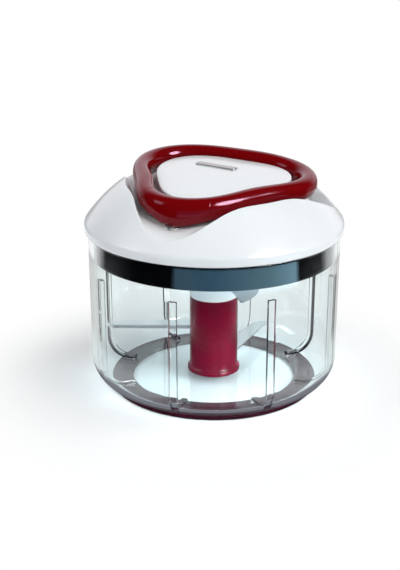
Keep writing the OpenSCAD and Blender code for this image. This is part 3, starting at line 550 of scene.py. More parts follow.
LID_R, LID_LOW, BAND_TOP = 77.0, 97.0, 102.0
DOME_RISE, DOME_POWER = 33.5, 3.2
SHELL = 2.4
OPENING_R = 32.2
EXIT, EXIT_BORE = (-22.5, -47.5), 3.45
HANDLE_TURN = 360.0 + math.degrees(math.atan2(EXIT[1], EXIT[0]))
RING_R, RING_REACH, RING_SHIFT = 42.1, 12.2, 1.64
RING_Z, RING_DIP, RING_LEAN, BACK_RISE = 125.8, 2.0, 0.06, 0.8
RING_HALF_W, RING_HALF_H = 5.7, 6.35
BEAK_DROP, BEAK_POWER = 3.3, 30
SIDE_GAP, FLOOR_GAP = 1.2, 0.45
PETAL_R, PETAL_SHIFT, PETAL_SIDE = 52.6, 1.2, 305.0
VALLEY_REACH, VALLEY_TURN, VALLEY_SKEW, VALLEY_POWER = 18.9, 247.2, 14, 2.0
WALL_SHARPNESS, WALL_SIDE = 14.0, 40.0
GRIP_DEPTH, GRIP_SIDE, GRIP_POWER = 12.0, 4.0, 14


def corner_wave(a, turn, skew):
    """1 at the three corners, 0 at the middle of the sides between them."""
    return (1 + cosd(3 * (a - turn) + skew * sind(a - turn))) / 2


def dome_z(r):
    """Height of the dome's outer surface."""
    return BAND_TOP + DOME_RISE * (1 - (r / LID_R) ** DOME_POWER)


def ring_r(a):
    """Radius of the handle ring's centre line."""
    return RING_R + RING_REACH * corner_wave(a, HANDLE_TURN, 0) - RING_SHIFT * cosd(a - HANDLE_TURN)


def ring_z(a):
    """Height of the ring's centre line: it leans forward and dips at its corners, least at the back one."""
    dip = RING_DIP * (1 - BACK_RISE * max(0.0, cosd(a - HANDLE_TURN + 120)))
    return RING_Z - dip * corner_wave(a, HANDLE_TURN, 0) + RING_LEAN * ring_r(a) * sind(a)


def beak(a):
    """How far the cord corner's underside is drawn down."""
    return BEAK_DROP * max(0.0, cosd(a - HANDLE_TURN)) ** BEAK_POWER


def crest_r(a):
    """Radius of the petals' inner edge, which runs out in the valleys and turns sharply at the trough."""
    petal = PETAL_R + PETAL_SHIFT * cosd(a - PETAL_SIDE)
    sharpness = VALLEY_POWER + WALL_SHARPNESS * max(0.0, cosd(a - WALL_SIDE)) ** 6
    valley = VALLEY_REACH * corner_wave(a, VALLEY_TURN, VALLEY_SKEW) ** sharpness
    return max(ring_r(a) + RING_HALF_W + SIDE_GAP, petal + valley)


def channel_floor(a):
    """Height of the channel's floor: close under the ring, and a finger's depth below its right corner."""
    grip = GRIP_DEPTH * max(0.0, cosd(a - GRIP_SIDE)) ** GRIP_POWER
    return ring_z(a) - RING_HALF_H - beak(a) - FLOOR_GAP - grip


def floor_edge(a):
    """Radius at which the floor starts to rise to the crest."""
    return min(crest_r(a) - 1.5, ring_r(a) + RING_HALF_W + 1.3)


def channel_z(r, a):
    """Height of the channel and valley surface."""
    crest, edge, low = crest_r(a), floor_edge(a), channel_floor(a)
    share = min(1.0, max(0.0, (r - edge) / (crest - edge)))
    return low + (dome_z(crest) - low) * share ** 2


def soft_corner(first, corner, last, steps):
    """Points of a small rounding between two tangent points."""
    return [bend(first, corner, last, k / steps) for k in range(steps + 1)]


def lid_section(a):
    """Section of the lid's shell in direction a: band, dome, crest, channel, then the underside."""
    crest, edge, low = crest_r(a), floor_edge(a), channel_floor(a)
    rim = LID_R
    line = [(rim - SHELL, LID_LOW), (rim - 0.9, LID_LOW), (rim - 0.45, LID_LOW + 0.12),
            (rim - 0.12, LID_LOW + 0.5), (rim, LID_LOW + 1.1), (rim, LID_LOW + 3.2)]
    line += soft_corner((rim, BAND_TOP - 1.4), (rim, BAND_TOP), (rim - 0.9, dome_z(rim - 0.9)), 5)
    lip = crest + 0.8
    line += [(r, dome_z(r)) for r in (rim - 0.9 + (lip - rim + 0.9) * k / 22 for k in range(1, 22))]
    turn_in = crest - min(0.7, 0.25 * (crest - edge))
    line += soft_corner((lip, dome_z(lip)), (crest, dome_z(crest)), (turn_in, channel_z(turn_in, a)), 6)
    line += [(r, channel_z(r, a)) for r in (turn_in + (edge - turn_in) * k / 14 for k in range(1, 15))]
    line += [(edge + (OPENING_R + 0.6 - edge) * k / 6, low) for k in range(1, 7)]
    line += [(OPENING_R, low - 0.6), (OPENING_R, low - SHELL + 0.4), (OPENING_R + 0.4, low - SHELL)]
    line += [(OPENING_R + (edge - OPENING_R) * k / 3, low - SHELL) for k in range(1, 4)]
    last = rim - SHELL - 2.2
    for k in range(1, 9):
        r = edge + (last - edge) * k / 8
        line.append((r, min(min(low, channel_z(r, a)) - SHELL, dome_z(r) - 1.35 * SHELL)))
    return line + [(rim - SHELL, LID_LOW + 2.6)]


def swept_round(name, section, steps, crease):
    """Closed body round the vertical axis whose section changes with the direction."""
    points = []
    for i in range(steps):
        a = 360 * i / steps
        points += [(r * cosd(a), r * sind(a), z) for r, z in section(a)]
    return piece_from(name, points, sweep_faces(steps, len(points) // steps, True), crease)


def cut_round(piece, operation, radius, high):
    """Bores a piece at the cord's exit with a round upright tool, or keeps only what lies inside it."""
    low, axis = 100.0, 0.0001
    tool = turned("bore_tool", [(axis, low), (radius, low), (radius, high), (axis, high)], 48, EXIT)
    cut = piece.modifiers.new("bore", "BOOLEAN")
    cut.operation, cut.solver, cut.object = operation, "EXACT", tool
    bpy.context.view_layer.update()
    done = bpy.data.meshes.new_from_object(piece.evaluated_get(bpy.context.evaluated_depsgraph_get()))
    piece.modifiers.clear()
    piece.data = done
    bpy.data.objects.remove(tool)


lid_shell = swept_round("lid_shell", lid_section, 360, 50.0)
cut_round(lid_shell, "DIFFERENCE", EXIT_BORE, 116.0)
fit(lid_shell, white_gloss, "lid", "white_plastic", "lid_dome")

# Skirt: the glossy black ring that plugs the bowl's mouth, bonded by its flange inside the dome's rim. A
# thin milky silicone seal lies between the flange and the bowl's rim.

SKIRT_R, SKIRT_LOW = 71.4, 82.0
SKIRT_IN = SKIRT_R - 3.0
FLANGE_R, FLANGE_IN, FLANGE_LOW, FLANGE_TOP = 74.2, 66.4, 97.2, 99.2
LEDGE_IN, LEDGE_LOW, LEDGE_TOP = 61.4, 84.62, 89.0
SEAL_IN, SEAL_OUT, SEAL_LOW, SEAL_TOP = 71.7, 74.1, 96.65, 97.18
black_gloss = moulded_finish("black_plastic", (0.002, 0.002, 0.003), (0.004, 0.004, 0.005), 0.05, cloud=0.6,
                             swing=0.04, depth=0.00001, rub=(0.02, 0.022, 0.026),
                             Specular_IOR_Level=0.12)
milky_silicone = moulded_finish("milky_silicone", (0.66, 0.70, 0.72), (0.58, 0.62, 0.65), 0.42, peel=1800.0)
skirt = turned("black_skirt", rounded([
    (SKIRT_IN, SKIRT_LOW, 0.3), (SKIRT_R, SKIRT_LOW, 0.7), (SKIRT_R, FLANGE_LOW, 0.1),
    (FLANGE_R, FLANGE_LOW, 0.2), (FLANGE_R, FLANGE_TOP, 0.2), (FLANGE_IN, FLANGE_TOP, 0.2),
    (FLANGE_IN, FLANGE_LOW, 0.2), (SKIRT_IN, FLANGE_LOW, 0.2), (SKIRT_IN, LEDGE_TOP, 0),
    (LEDGE_IN, LEDGE_TOP, 0.3), (LEDGE_IN, LEDGE_LOW, 0.2), (SKIRT_IN, LEDGE_LOW, 0)]), 192)
fit(skirt, black_gloss, "lid", "black_plastic", "lid_skirt")
seal = turned("seal_ring", rounded([(SEAL_IN, SEAL_LOW, 0.15), (SEAL_OUT, SEAL_LOW, 0.15),
                                    (SEAL_OUT, SEAL_TOP, 0.15), (SEAL_IN, SEAL_TOP, 0.15)], 3), 160)
fit(seal, milky_silicone, "lid", "clear_silicone", "lid_seal")

# Under plate: the white plate that closes the lid from below, held to the skirt by six steel screws with
# domed heads and cross recesses, sunk flush in their counterbores.

SCREWS, SCREW_CIRCLE, SCREW_SEAT = 6, 64.6, 83.35
SCREW_R, SCREW_THICK = 2.95, 1.1
CROSS_HALF, CROSS_DEEP = 0.13 * SCREW_R, 0.55 * SCREW_THICK
SPOKES = 48
dress("under_plate", white_gloss)
points, faces = [], []
shares = [0.0, 0.12, 0.24, 0.36, 0.42, 0.52, 0.62, 0.72, 0.82, 0.92, 1.0]
for i in range(SCREWS):
    cx, cy = SCREW_CIRCLE * cosd(60 * i), SCREW_CIRCLE * sind(60 * i)
    start = len(points)
    for share in shares:
        for k in range(SPOKES):
            a = 360 * k / SPOKES
            x, y = SCREW_R * share * cosd(a), SCREW_R * share * sind(a)
            in_cross = min(abs(x), abs(y)) < CROSS_HALF and share < 0.6
            tall = SCREW_THICK * (1 - 0.45 * share ** 2) - (CROSS_DEEP if in_cross else 0)
            points.append((cx + x, cy + y, SCREW_SEAT - tall))
    for k in range(SPOKES):
        a = 360 * k / SPOKES
        points.append((cx + SCREW_R * cosd(a), cy + SCREW_R * sind(a), SCREW_SEAT))
    faces += [tuple(start + j for j in face) for face in sweep_faces(len(shares) + 1, SPOKES, False)]
    faces.append(tuple(range(len(points) - SPOKES, len(points))))
plate_screws = piece_from("plate_screw_heads", points, faces, 30.0)
fit(plate_screws, bright_steel, "lid", "bright_steel", "plate_screws")

# Drive works inside the lid: a round grey housing on the plate holds the axle, the cord spool and a flat
# spiral spring; below it the white hub takes the blade unit's head, driven by two small steel pawls.

SPRING_IN, SPRING_OUT, SPRING_TURNS, SPRING_THICK = 7.2, 28.6, 6, 0.5
for node in ("housing", "cord_spool", "roller_bracket"):
    dress(node, grey_moulding)
for node in ("drive_hub", "guide_roller"):
    dress(node, white_gloss)
for node in ("housing_screws", "spool_axle", "pawl_pins", "pawl_1", "pawl_2", "roller_pin", "corner_dowels"):
    dress(node, bright_steel)
spring_low, spring_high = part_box("recoil_spring")
low, high = spring_low.z / MM + 0.01, spring_high.z / MM - 0.01
inner, outer, soft = 0.02, SPRING_THICK - 0.02, 0.1
section = [(inner, low + soft), (inner + soft, low), (outer - soft, low), (outer, low + soft),
           (outer, high - soft), (outer - soft, high), (inner + soft, high), (inner, high - soft)]
spring_steps = SPRING_TURNS * 60
points = []
for i in range(spring_steps + 1):
    a = 360 * SPRING_TURNS * i / spring_steps
    r = SPRING_IN + (SPRING_OUT - SPRING_IN) * i / spring_steps
    points += [((r + step) * cosd(a), (r + step) * sind(a), z) for step, z in section]
spring = piece_from("spring_band", points, bar_faces(spring_steps + 1, len(section)))
spring_steel = metal_finish("spring_steel", (0.58, 0.60, 0.64), (0.38, 0.40, 0.46), 0.26,
                            (300.0, 300.0, 3000.0))
fit(spring, spring_steel, "lid", "blade_steel", "recoil_spring")

# Pull cord: a braided white cord, wound three turns on the spool, led level to the roller, turned
# upwards under it, and drawn through the eyelet to a knot in the handle's cord corner.

CORD_R, CORD_SIDES = 1.0, 12
WIND_R, WIND_TURNS, WIND_STEPS, WIND_END = 22.5, 3, 72, 180
CORD_Z, CORD_PITCH = 96.1, 2.6
ROLLER_Y, ROLLER_GROOVE = -42.5, 5.0
EYELET_BORE, EYELET_BARREL, EYELET_FLANGE = 1.45, 3.3, 4.6
EYELET_LOW, EYELET_TOP = 107.1, 111.0445
PLUG_TOP = 115.295
KNOT_Z, KNOT_SCALE, KNOT_LIFT, KNOT_STEPS = PLUG_TOP + 2.7, 0.58, 1.1, 72

# Braid of a cord: two sets of strands that cross, from a count round the cord and a length along it
cord_braid, group_in, group_out = detail_group(
    "cord_braid", [("Around", NUMBER, 0.0), ("Along", NUMBER, 0.0), ("Pitch", NUMBER, 1800.0)],
    [("Colour", COLOUR), ("Height", NUMBER)])
run = maths(cord_braid, "MULTIPLY", group_in.outputs["Along"], group_in.outputs["Pitch"])
turns = maths(cord_braid, "MULTIPLY", group_in.outputs["Around"], 6.0)
left = maths(cord_braid, "SINE", maths(cord_braid, "ADD", turns, run))
right = maths(cord_braid, "SINE", maths(cord_braid, "SUBTRACT", turns, run))
over = maths(cord_braid, "MAXIMUM", left, right)
lift = maths(cord_braid, "MULTIPLY", maths(cord_braid, "ADD", over, 1.0), 0.5)
# Painted shade: the low parts between the strands are coloured darker
cord_braid.links.new(mixed(cord_braid, lift, (0.50, 0.49, 0.45, 1), (0.82, 0.81, 0.77, 1)),
                     group_out.inputs["Colour"])
cord_braid.links.new(lift, group_out.inputs["Height"])


def cord_finish(name, upright):
    """Braided cord; an upright stretch counts along its height, a laid one along its own length."""
    material, tree, shader = new_finish(name, Roughness=0.75, Sheen_Weight=0.2)
    strands = place_group(tree, cord_braid)
    split = add(tree, "ShaderNodeSeparateXYZ")
    if upright:
        place = add(tree, "ShaderNodeTexCoord")
        shift = add(tree, "ShaderNodeVectorMath", {"operation": "SUBTRACT"})
        shift.inputs[1].default_value = (EXIT[0] * MM, EXIT[1] * MM, 0.0)
        tree.links.new(place.outputs["Object"], shift.inputs[0])
        tree.links.new(shift.outputs["Vector"], split.inputs["Vector"])
        around = maths(tree, "ARCTAN2", split.outputs["Y"], split.outputs["X"])
        tree.links.new(around, strands.inputs["Around"])
        tree.links.new(split.outputs["Z"], strands.inputs["Along"])
    else:
        laid = add(tree, "ShaderNodeUVMap", {"uv_map": "lay"})
        tree.links.new(laid.outputs["UV"], split.inputs["Vector"])
        tree.links.new(maths(tree, "MULTIPLY", split.outputs["X"], 2 * math.pi), strands.inputs["Around"])
        tree.links.new(split.outputs["Y"], strands.inputs["Along"])
    tree.links.new(strands.outputs["Colour"], shader.inputs["Base Color"])
    bump_from(tree, shader, strands.outputs["Height"], 0.8, 0.00015)
    return material


def cord_tube(name, path, radius=CORD_R, closed=False):
    """Tube along a path, with a map of its lay: once round the cord, metres along it."""
    points, count, sides = [], len(path), CORD_SIDES
    reach = [0.0]
    for p, q in zip(path, path[1:]):
        reach.append(reach[-1] + (Vector(q) - Vector(p)).length)
    up = Vector((0, 0, 1))
    for i, p in enumerate(path):
        ahead = Vector(path[(i + 1) % count] if closed or i + 1 < count else p)
        behind = Vector(path[i - 1] if closed or i else p)
        way = (ahead - behind).normalized()
        side = way.cross(up)
        if side.length < 0.05:
            side = way.cross(Vector((1, 0, 0)))
        side.normalize()
        rise = side.cross(way)
        for k in range(sides):
            a = 2 * math.pi * k / sides
            points.append(tuple(Vector(p) + radius * (math.cos(a) * side + math.sin(a) * rise)))
    faces = sweep_faces(count, sides, True) if closed else bar_faces(count, sides)
    mesh = bpy.data.meshes.new(name)
    mesh.from_pydata([(x * MM, y * MM, z * MM) for x, y, z in points], [], faces)
    lay = mesh.uv_layers.new(name="lay")
    for face in mesh.polygons:
        rows = [mesh.loops[k].vertex_index // sides for k in face.loop_indices]
        spots = [mesh.loops[k].vertex_index % sides for k in face.loop_indices]
        for k, row, spot in zip(face.loop_indices, rows, spots):
            wrap = sides if spot == 0 and max(spots) == sides - 1 and len(spots) == 4 else 0
            lay.data[k].uv = ((spot + wrap) / sides, reach[row] * MM)
    mesh.shade_smooth()
    mesh.set_sharp_from_angle(angle=math.radians(60))
    work = bmesh.new()
    work.from_mesh(mesh)
    bmesh.ops.recalc_face_normals(work, faces=work.faces)
    work.to_mesh(mesh)
    work.free()
    piece = bpy.data.objects.new(name, mesh)
    bpy.context.scene.collection.objects.link(piece)
    return piece


laid_cord = cord_finish("laid_cord", False)
first_a = WIND_END - 360 * WIND_TURNS
start_z = CORD_Z + CORD_PITCH * WIND_TURNS
winding = [(WIND_R * cosd(first_a) + 2 * sind(first_a), WIND_R * sind(first_a) - 2 * cosd(first_a), start_z)]
for i in range(WIND_TURNS * WIND_STEPS + 1):
    back = (WIND_TURNS * WIND_STEPS - i) / WIND_STEPS
    a = WIND_END - 360 * back
    winding.append((WIND_R * cosd(a), WIND_R * sind(a), CORD_Z + CORD_PITCH * back))
winding.append((EXIT[0], -2.0, CORD_Z))
fit(cord_tube("wound_cord", winding, 0.98), laid_cord, "spool", "white_cord", "cord_winding")
lead_start = -math.sqrt((WIND_R + CORD_R + 0.3) ** 2 - (WIND_R - CORD_R) ** 2)
lead = [(EXIT[0], lead_start + (ROLLER_Y - lead_start) * k / 16, CORD_Z) for k in range(16)]
lead += [(EXIT[0], ROLLER_Y - ROLLER_GROOVE * sind(a), CORD_Z + ROLLER_GROOVE * (1 - cosd(a)))
         for a in range(0, 91, 9)]
lead += [(EXIT[0], EXIT[1], CORD_Z + ROLLER_GROOVE + (EYELET_TOP - CORD_Z - ROLLER_GROOVE) * k / 6)
         for k in range(1, 7)]
fit(cord_tube("lead_cord", lead), laid_cord, "lid", "white_cord", "cord_lead")
eyelet = turned("cord_eyelet_turned", rounded([
    (EYELET_BORE, EYELET_LOW, 0.3), (EYELET_FLANGE, EYELET_LOW, 0.25),
    (EYELET_FLANGE, EYELET_LOW + 0.9, 0.25), (EYELET_BARREL, EYELET_LOW + 1, 0),
    (EYELET_BARREL, EYELET_TOP, 0.3), (EYELET_BORE, EYELET_TOP, 0.35)]), 64, EXIT)
satin_steel = metal_finish("satin_steel", (0.90, 0.90, 0.91), (0.76, 0.77, 0.78), 0.62,
                           (200.0, 200.0, 3000.0))
fit(eyelet, satin_steel, "lid", "bright_steel", "cord_eyelet")
cord_low, cord_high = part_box("pull_cord")
drawn = cord_tube("drawn_cord", [(EXIT[0], EXIT[1], (cord_low.z + (cord_high.z - cord_low.z) * k / 40) / MM)
                                 for k in range(41)])
drawn.data.materials.append(cord_finish("upright_cord", True))
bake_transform(drawn)
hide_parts("pull_cord")
knot_path = []
for i in range(KNOT_STEPS):
    t = 360 * i / KNOT_STEPS
    knot_path.append((EXIT[0] + KNOT_SCALE * (sind(t) + 2 * sind(2 * t)),
                      EXIT[1] + KNOT_SCALE * (cosd(t) - 2 * cosd(2 * t)), KNOT_Z - KNOT_LIFT * sind(3 * t)))
fit(cord_tube("end_knot", knot_path, 0.82, closed=True), laid_cord, "handle", "white_cord", "cord_knot")

# Centre cap: the white crowned plateau inside the handle, a thin moulding that stands on the channel's
# floor and hides the housing. Its plan follows the ring's rounded triangle.

CAP_TOP, CAP_CROWN, CAP_WALL, CAP_LEAN = 129.3, 2.2, 2.2, 0.08
CAP_R, CAP_REACH, CAP_SHIFT = 34.4, 8.6, 1.8
RIGHT_REACH, RIGHT_SIDE = 0.2, 5.0
EDGE_DROP = 0.9


def cap_r(a):
    """Radius of the cap's edge; its right corner reaches further than the others."""
    reach = CAP_REACH * (1 + RIGHT_REACH * cosd(a - RIGHT_SIDE))
    return CAP_R + reach * corner_wave(a, HANDLE_TURN, 0) - CAP_SHIFT * cosd(a - HANDLE_TURN)


def cap_z(f, a):
    """Height of the cap at a share of its radius."""
    return CAP_TOP - CAP_CROWN * f ** 3 + CAP_LEAN * f * cap_r(a) * sind(a)


def cap_section(a):
    """Section of the cap in direction a: crowned top, soft edge, wall, then the underside."""
    edge, top = cap_r(a), cap_z(1, a)
    low = channel_floor(a) + 0.27
    line = [(f * edge, cap_z(f, a)) for f in [0.0002] + [k / 24 for k in range(1, 24)] + [0.975]]
    line += soft_corner((0.98 * edge, cap_z(0.98, a)), (edge, top + 0.05), (edge, top - EDGE_DROP), 5)
    line += [(edge, top + (low - top) * 0.4), (edge, low), (edge - CAP_WALL, low)]
    return line + [(f * (edge - CAP_WALL), cap_z(f, a) - CAP_WALL) for f in (0.97, 0.75, 0.45, 0.2, 0.0002)]


cap = swept_round("white_cap", cap_section, 288, 45.0)
fit(cap, white_gloss, "lid", "white_plastic", "centre_cap")

# Badge plate: a bare satin metal plate glued on the cap and ground lengthwise, with rounded corners and
# a polished bevel round its face.

BADGE_LONG, BADGE_WIDE, BADGE_THICK, BADGE_CURVE = 26.0, 5.0, 0.8, 0.7
BADGE_AT, BADGE_TURN = (1.2, 13.4), -28.0
badge_a = math.degrees(math.atan2(BADGE_AT[1], BADGE_AT[0]))
badge_f = math.hypot(*BADGE_AT) / cap_r(badge_a)
badge_tilt = math.atan(CAP_LEAN - 3 * CAP_CROWN * badge_f ** 2 / cap_r(badge_a))
badge_low = cap_z(badge_f, badge_a) + 0.05
rings = []
for inset, z in ((0.0, 0.0), (0.0, 0.5), (0.08, 0.66), (0.3, BADGE_THICK)):
    ring = []
    for cx, cy, start in ((1, 1, 0), (-1, 1, 90), (-1, -1, 180), (1, -1, 270)):
        for a in range(start, start + 91, 15):
            x = cx * (BADGE_LONG / 2 - BADGE_CURVE) + (BADGE_CURVE - inset) * cosd(a)
            y = cy * (BADGE_WIDE / 2 - BADGE_CURVE) + (BADGE_CURVE - inset) * sind(a)
            ring.append((x, y, z))
    rings.append(ring)
points = []
for x, y, z in (p for ring in rings for p in ring):
    u, v = x * cosd(BADGE_TURN) - y * sind(BADGE_TURN), x * sind(BADGE_TURN) + y * cosd(BADGE_TURN)
    points.append((BADGE_AT[0] + u, BADGE_AT[1] + v * math.cos(badge_tilt) - z * math.sin(badge_tilt),
                   badge_low + v * math.sin(badge_tilt) + z * math.cos(badge_tilt)))
badge = piece_from("bare_badge", points, bar_faces(len(rings), len(rings[0])), 25.0)
badge_metal = metal_finish("badge_metal", (0.62, 0.63, 0.61), (0.40, 0.41, 0.40), 0.28,
                           turn=-math.radians(BADGE_TURN))
fit(badge, badge_metal, "lid", "badge_metal", "badge_plate")

# Pull handle: a thick glossy dark red ring in the plan of a rounded triangle. Its cord corner is a separate
# moulding with a beak below, joined by two dowels at fine seams and bored for the cord's plug and knot.

SEAM_HALF, SEAM_GAP, SEAM_DRAW = 23.2, 0.03, 0.12
INNER_SWELL, UPPER_SWELL = 1.6, 1.1
SECTION, SECTION_POWER = 44, 2.2
KNOT_BORE, KNOT_BORE_TOP, PLUG_R, CORD_HOLE = 4.2, 123.9, 4.16, 1.3
red_gloss = moulded_finish("red_plastic", (0.175, 0.0010, 0.002), (0.145, 0.0008, 0.0016), 0.11, cloud=0.6,
                           swing=0.05, depth=0.000012, rub=(0.24, 0.004, 0.008),
                           Specular_IOR_Level=0.3, Specular_Tint=(1.0, 0.66, 0.92, 1))


def oval(c):
    """Rounded-oval share of a section's half size."""
    return math.copysign(abs(c) ** (2 / SECTION_POWER), c)


def ring_piece(name, start, end, steps, beaked):
    """Stretch of the ring between two directions, its ends drawn in a little at the seams."""
    rim = beak(HANDLE_TURN + SEAM_HALF)
    easing = [0.0, 0.12, 0.3, 0.6]
    share = [e / (end - start) for e in easing]
    stations = share + [k / steps for k in range(1, steps)] + [1 - e for e in reversed(share)]
    stations = sorted(set(stations))
    points = []
    for t in stations:
        a = start + (end - start) * t
        near = min(t, 1 - t) * (end - start)
        draw = SEAM_DRAW * max(0.0, 1 - near / 0.4) ** 2
        drop = beak(a) - rim if beaked else 0.0
        near_corner = max(0.0, cosd(a - HANDLE_TURN)) ** 4
        for j in range(SECTION):
            angle = 360 * j / SECTION
            swell = INNER_SWELL * near_corner if cosd(angle) < 0 else 0.0
            x = (RING_HALF_W + swell - draw) * oval(cosd(angle))
            tall = RING_HALF_H - draw + (drop if sind(angle) < 0 else UPPER_SWELL * near_corner)
            r, z = ring_r(a) + x, ring_z(a) + tall * oval(sind(angle))
            points.append((r * cosd(a), r * sind(a), z))
    return piece_from(name, points, bar_faces(len(stations), SECTION), 60.0)


ring_from, ring_to = HANDLE_TURN + SEAM_HALF + SEAM_GAP, HANDLE_TURN + 360 - SEAM_HALF - SEAM_GAP
ring = ring_piece("red_ring", ring_from, ring_to, 260, False)
fit(ring, red_gloss, "handle", "red_plastic", "handle_ring")
corner_from, corner_to = HANDLE_TURN - SEAM_HALF + SEAM_GAP, HANDLE_TURN + SEAM_HALF - SEAM_GAP
corner = ring_piece("red_corner", corner_from, corner_to, 60, True)
cut_round(corner, "DIFFERENCE", KNOT_BORE, KNOT_BORE_TOP)
fit(corner, red_gloss, "handle", "red_plastic", "handle_corner")
plug = ring_piece("corner_plug", corner_from, corner_to, 60, True)
cut_round(plug, "INTERSECT", PLUG_R, PLUG_TOP)
cut_round(plug, "DIFFERENCE", CORD_HOLE, PLUG_TOP + 1)
fit(plug, red_gloss, "handle", "red_plastic", "knot_plug")

# Table, light and camera: a white table that runs out into a white backdrop, a round soft lamp at the
# right of the camera, and large panels above it, at the left and in front. The dark screens beside the object
# that draw the clear edges are painted reflections, the table's colour as gloss sees it, with no screen
# objects.
# One round panel is only seen in gloss, as the streak along the handle.

TABLE_HALF = 6
AIM_Z, PANEL_FAR = 0.08, 1.3
floor_mesh = bpy.data.meshes.new("table")
floor_mesh.from_pydata([(-TABLE_HALF, -TABLE_HALF, 0), (TABLE_HALF, -TABLE_HALF, 0),
                        (TABLE_HALF, TABLE_HALF, 0), (-TABLE_HALF, TABLE_HALF, 0)], [], [(0, 1, 2, 3)])
table = bpy.data.objects.new("table", floor_mesh)
table.location.z = -0.0002
bpy.context.scene.collection.objects.link(table)
paper, tree, shader = new_finish("table_white_painted_reflections", Base_Color=(0.86, 0.87, 0.88, 1), Roughness=0.9,
                                 Specular_IOR_Level=0.1)

# Painted reflection: bearing from the camera's side, in degrees to the right, and the colour painted there
# for reflections
SCREEN_PAINT_PALE, SCREEN_PAINT_DARK = (0.3, 0.3, 0.3), (0.0, 0.0, 0.0)
PAINTED_SCREENS = [(-179.0, SCREEN_PAINT_PALE), (-114.0, SCREEN_PAINT_PALE), (-106.0, SCREEN_PAINT_DARK), (-34.0, SCREEN_PAINT_DARK), (-30.0, (0.13, 0.25, 0.36)),
           (0.0, (0.11, 0.27, 0.42)), (45.0, (0.30, 0.55, 0.70)), (70.0, (0.45, 0.8, 1.0)), (73.0, SCREEN_PAINT_DARK),
           (102.0, SCREEN_PAINT_DARK), (112.0, SCREEN_PAINT_PALE), (179.0, SCREEN_PAINT_PALE)]
rays = add(tree, "ShaderNodeLightPath")
place = add(tree, "ShaderNodeTexCoord")
split = add(tree, "ShaderNodeSeparateXYZ")
tree.links.new(place.outputs["Object"], split.inputs["Vector"])
bearing = maths(tree, "ARCTAN2", split.outputs["X"], maths(tree, "MULTIPLY", split.outputs["Y"], -1.0))
painted_screens = add(tree, "ShaderNodeValToRGB")
tree.links.new(maths(tree, "ADD", maths(tree, "DIVIDE", bearing, 2 * math.pi), 0.5), painted_screens.inputs["Fac"])
ramp = painted_screens.color_ramp
for spot, colour in PAINTED_SCREENS:
    stop = ramp.elements.new(0.5 + spot / 360.0)
    stop.color = (*colour, 1)
ramp.elements.remove(ramp.elements[0])
ramp.elements.remove(ramp.elements[len(ramp.elements) - 1])
far = add(tree, "ShaderNodeVectorMath", {"operation": "LENGTH"})
tree.links.new(place.outputs["Object"], far.inputs[0])


def ring_fade(start, end):
    """0 nearer the middle of the table than start, 1 beyond end, in metres."""
    fade = add(tree, "ShaderNodeMapRange", {"interpolation_type": "SMOOTHSTEP"}, From_Min=start, From_Max=end)
    tree.links.new(far.outputs["Value"], fade.inputs["Value"])
    return fade.outputs["Result"]


white = add(tree, "ShaderNodeEmission", Strength=1.0)
lifted = add(tree, "ShaderNodeEmission", Strength=0.08)
near_look = add(tree, "ShaderNodeAddShader")
tree.links.new(shader.outputs["BSDF"], near_look.inputs[0])
tree.links.new(lifted.outputs["Emission"], near_look.inputs[1])
seen_look = add(tree, "ShaderNodeMixShader")
tree.links.new(ring_fade(0.06, 0.17), seen_look.inputs["Fac"])
tree.links.new(near_look.outputs["Shader"], seen_look.inputs[1])
tree.links.new(white.outputs["Emission"], seen_look.inputs[2])
# Painted reflections: gloss sees the table as a glowing colour that no lamp lights. It shows painted screens
# by bearing, a bright painted belt that the black band reflects, and a dark ring and a pale line at the foot.
mirrored = add(tree, "ShaderNodeEmission")
painted_belt_glow = maths(tree, "MULTIPLY", ring_fade(0.272, 0.288), maths(tree, "SUBTRACT", 1.0, ring_fade(0.36, 0.42)))
side = add(tree, "ShaderNodeMapRange", {"interpolation_type": "SMOOTHSTEP"}, From_Min=1.1, From_Max=1.7,
           To_Min=0.01, To_Max=0.7)
tree.links.new(maths(tree, "ABSOLUTE", bearing), side.inputs["Value"])
painted_side_reflection = add(tree, "ShaderNodeCombineColor")
for channel in ("Red", "Green", "Blue"):
    tree.links.new(side.outputs["Result"], painted_side_reflection.inputs[channel])
# Painted reflection at the bowl's foot: a dark ring close in, then a pale line for the lower corner
painted_foot_reflection = mixed(tree, ring_fade(0.079, 0.086), (0.20, 0.20, 0.23, 1), (0.75, 0.8, 0.8, 1))
painted_foot_reflection = mixed(tree, ring_fade(0.115, 0.14), painted_foot_reflection, painted_side_reflection.outputs["Color"])
tree.links.new(mixed(tree, ring_fade(0.262, 0.288), painted_foot_reflection, painted_screens.outputs["Color"]),
               mirrored.inputs["Color"])
tree.links.new(maths(tree, "ADD", maths(tree, "MULTIPLY", painted_belt_glow, 2.4), 1.0), mirrored.inputs["Strength"])
seen = maths(tree, "MAXIMUM", rays.outputs["Is Camera Ray"], rays.outputs["Is Transmission Ray"])
seen = maths(tree, "SUBTRACT", seen, maths(tree, "MINIMUM", rays.outputs["Diffuse Depth"], 1.0))
plain_look = add(tree, "ShaderNodeMixShader")
tree.links.new(seen, plain_look.inputs["Fac"])
tree.links.new(shader.outputs["BSDF"], plain_look.inputs[1])
tree.links.new(seen_look.outputs["Shader"], plain_look.inputs[2])
final_look = add(tree, "ShaderNodeMixShader")
bounced = maths(tree, "MINIMUM", rays.outputs["Glossy Depth"], 1.0)
tree.links.new(bounced, final_look.inputs["Fac"])
tree.links.new(plain_look.outputs["Shader"], final_look.inputs[1])
tree.links.new(mirrored.outputs["Emission"], final_look.inputs[2])
tree.links.new(final_look.outputs["Shader"], tree.nodes["Material Output"].inputs["Surface"])
floor_mesh.materials.append(paper)

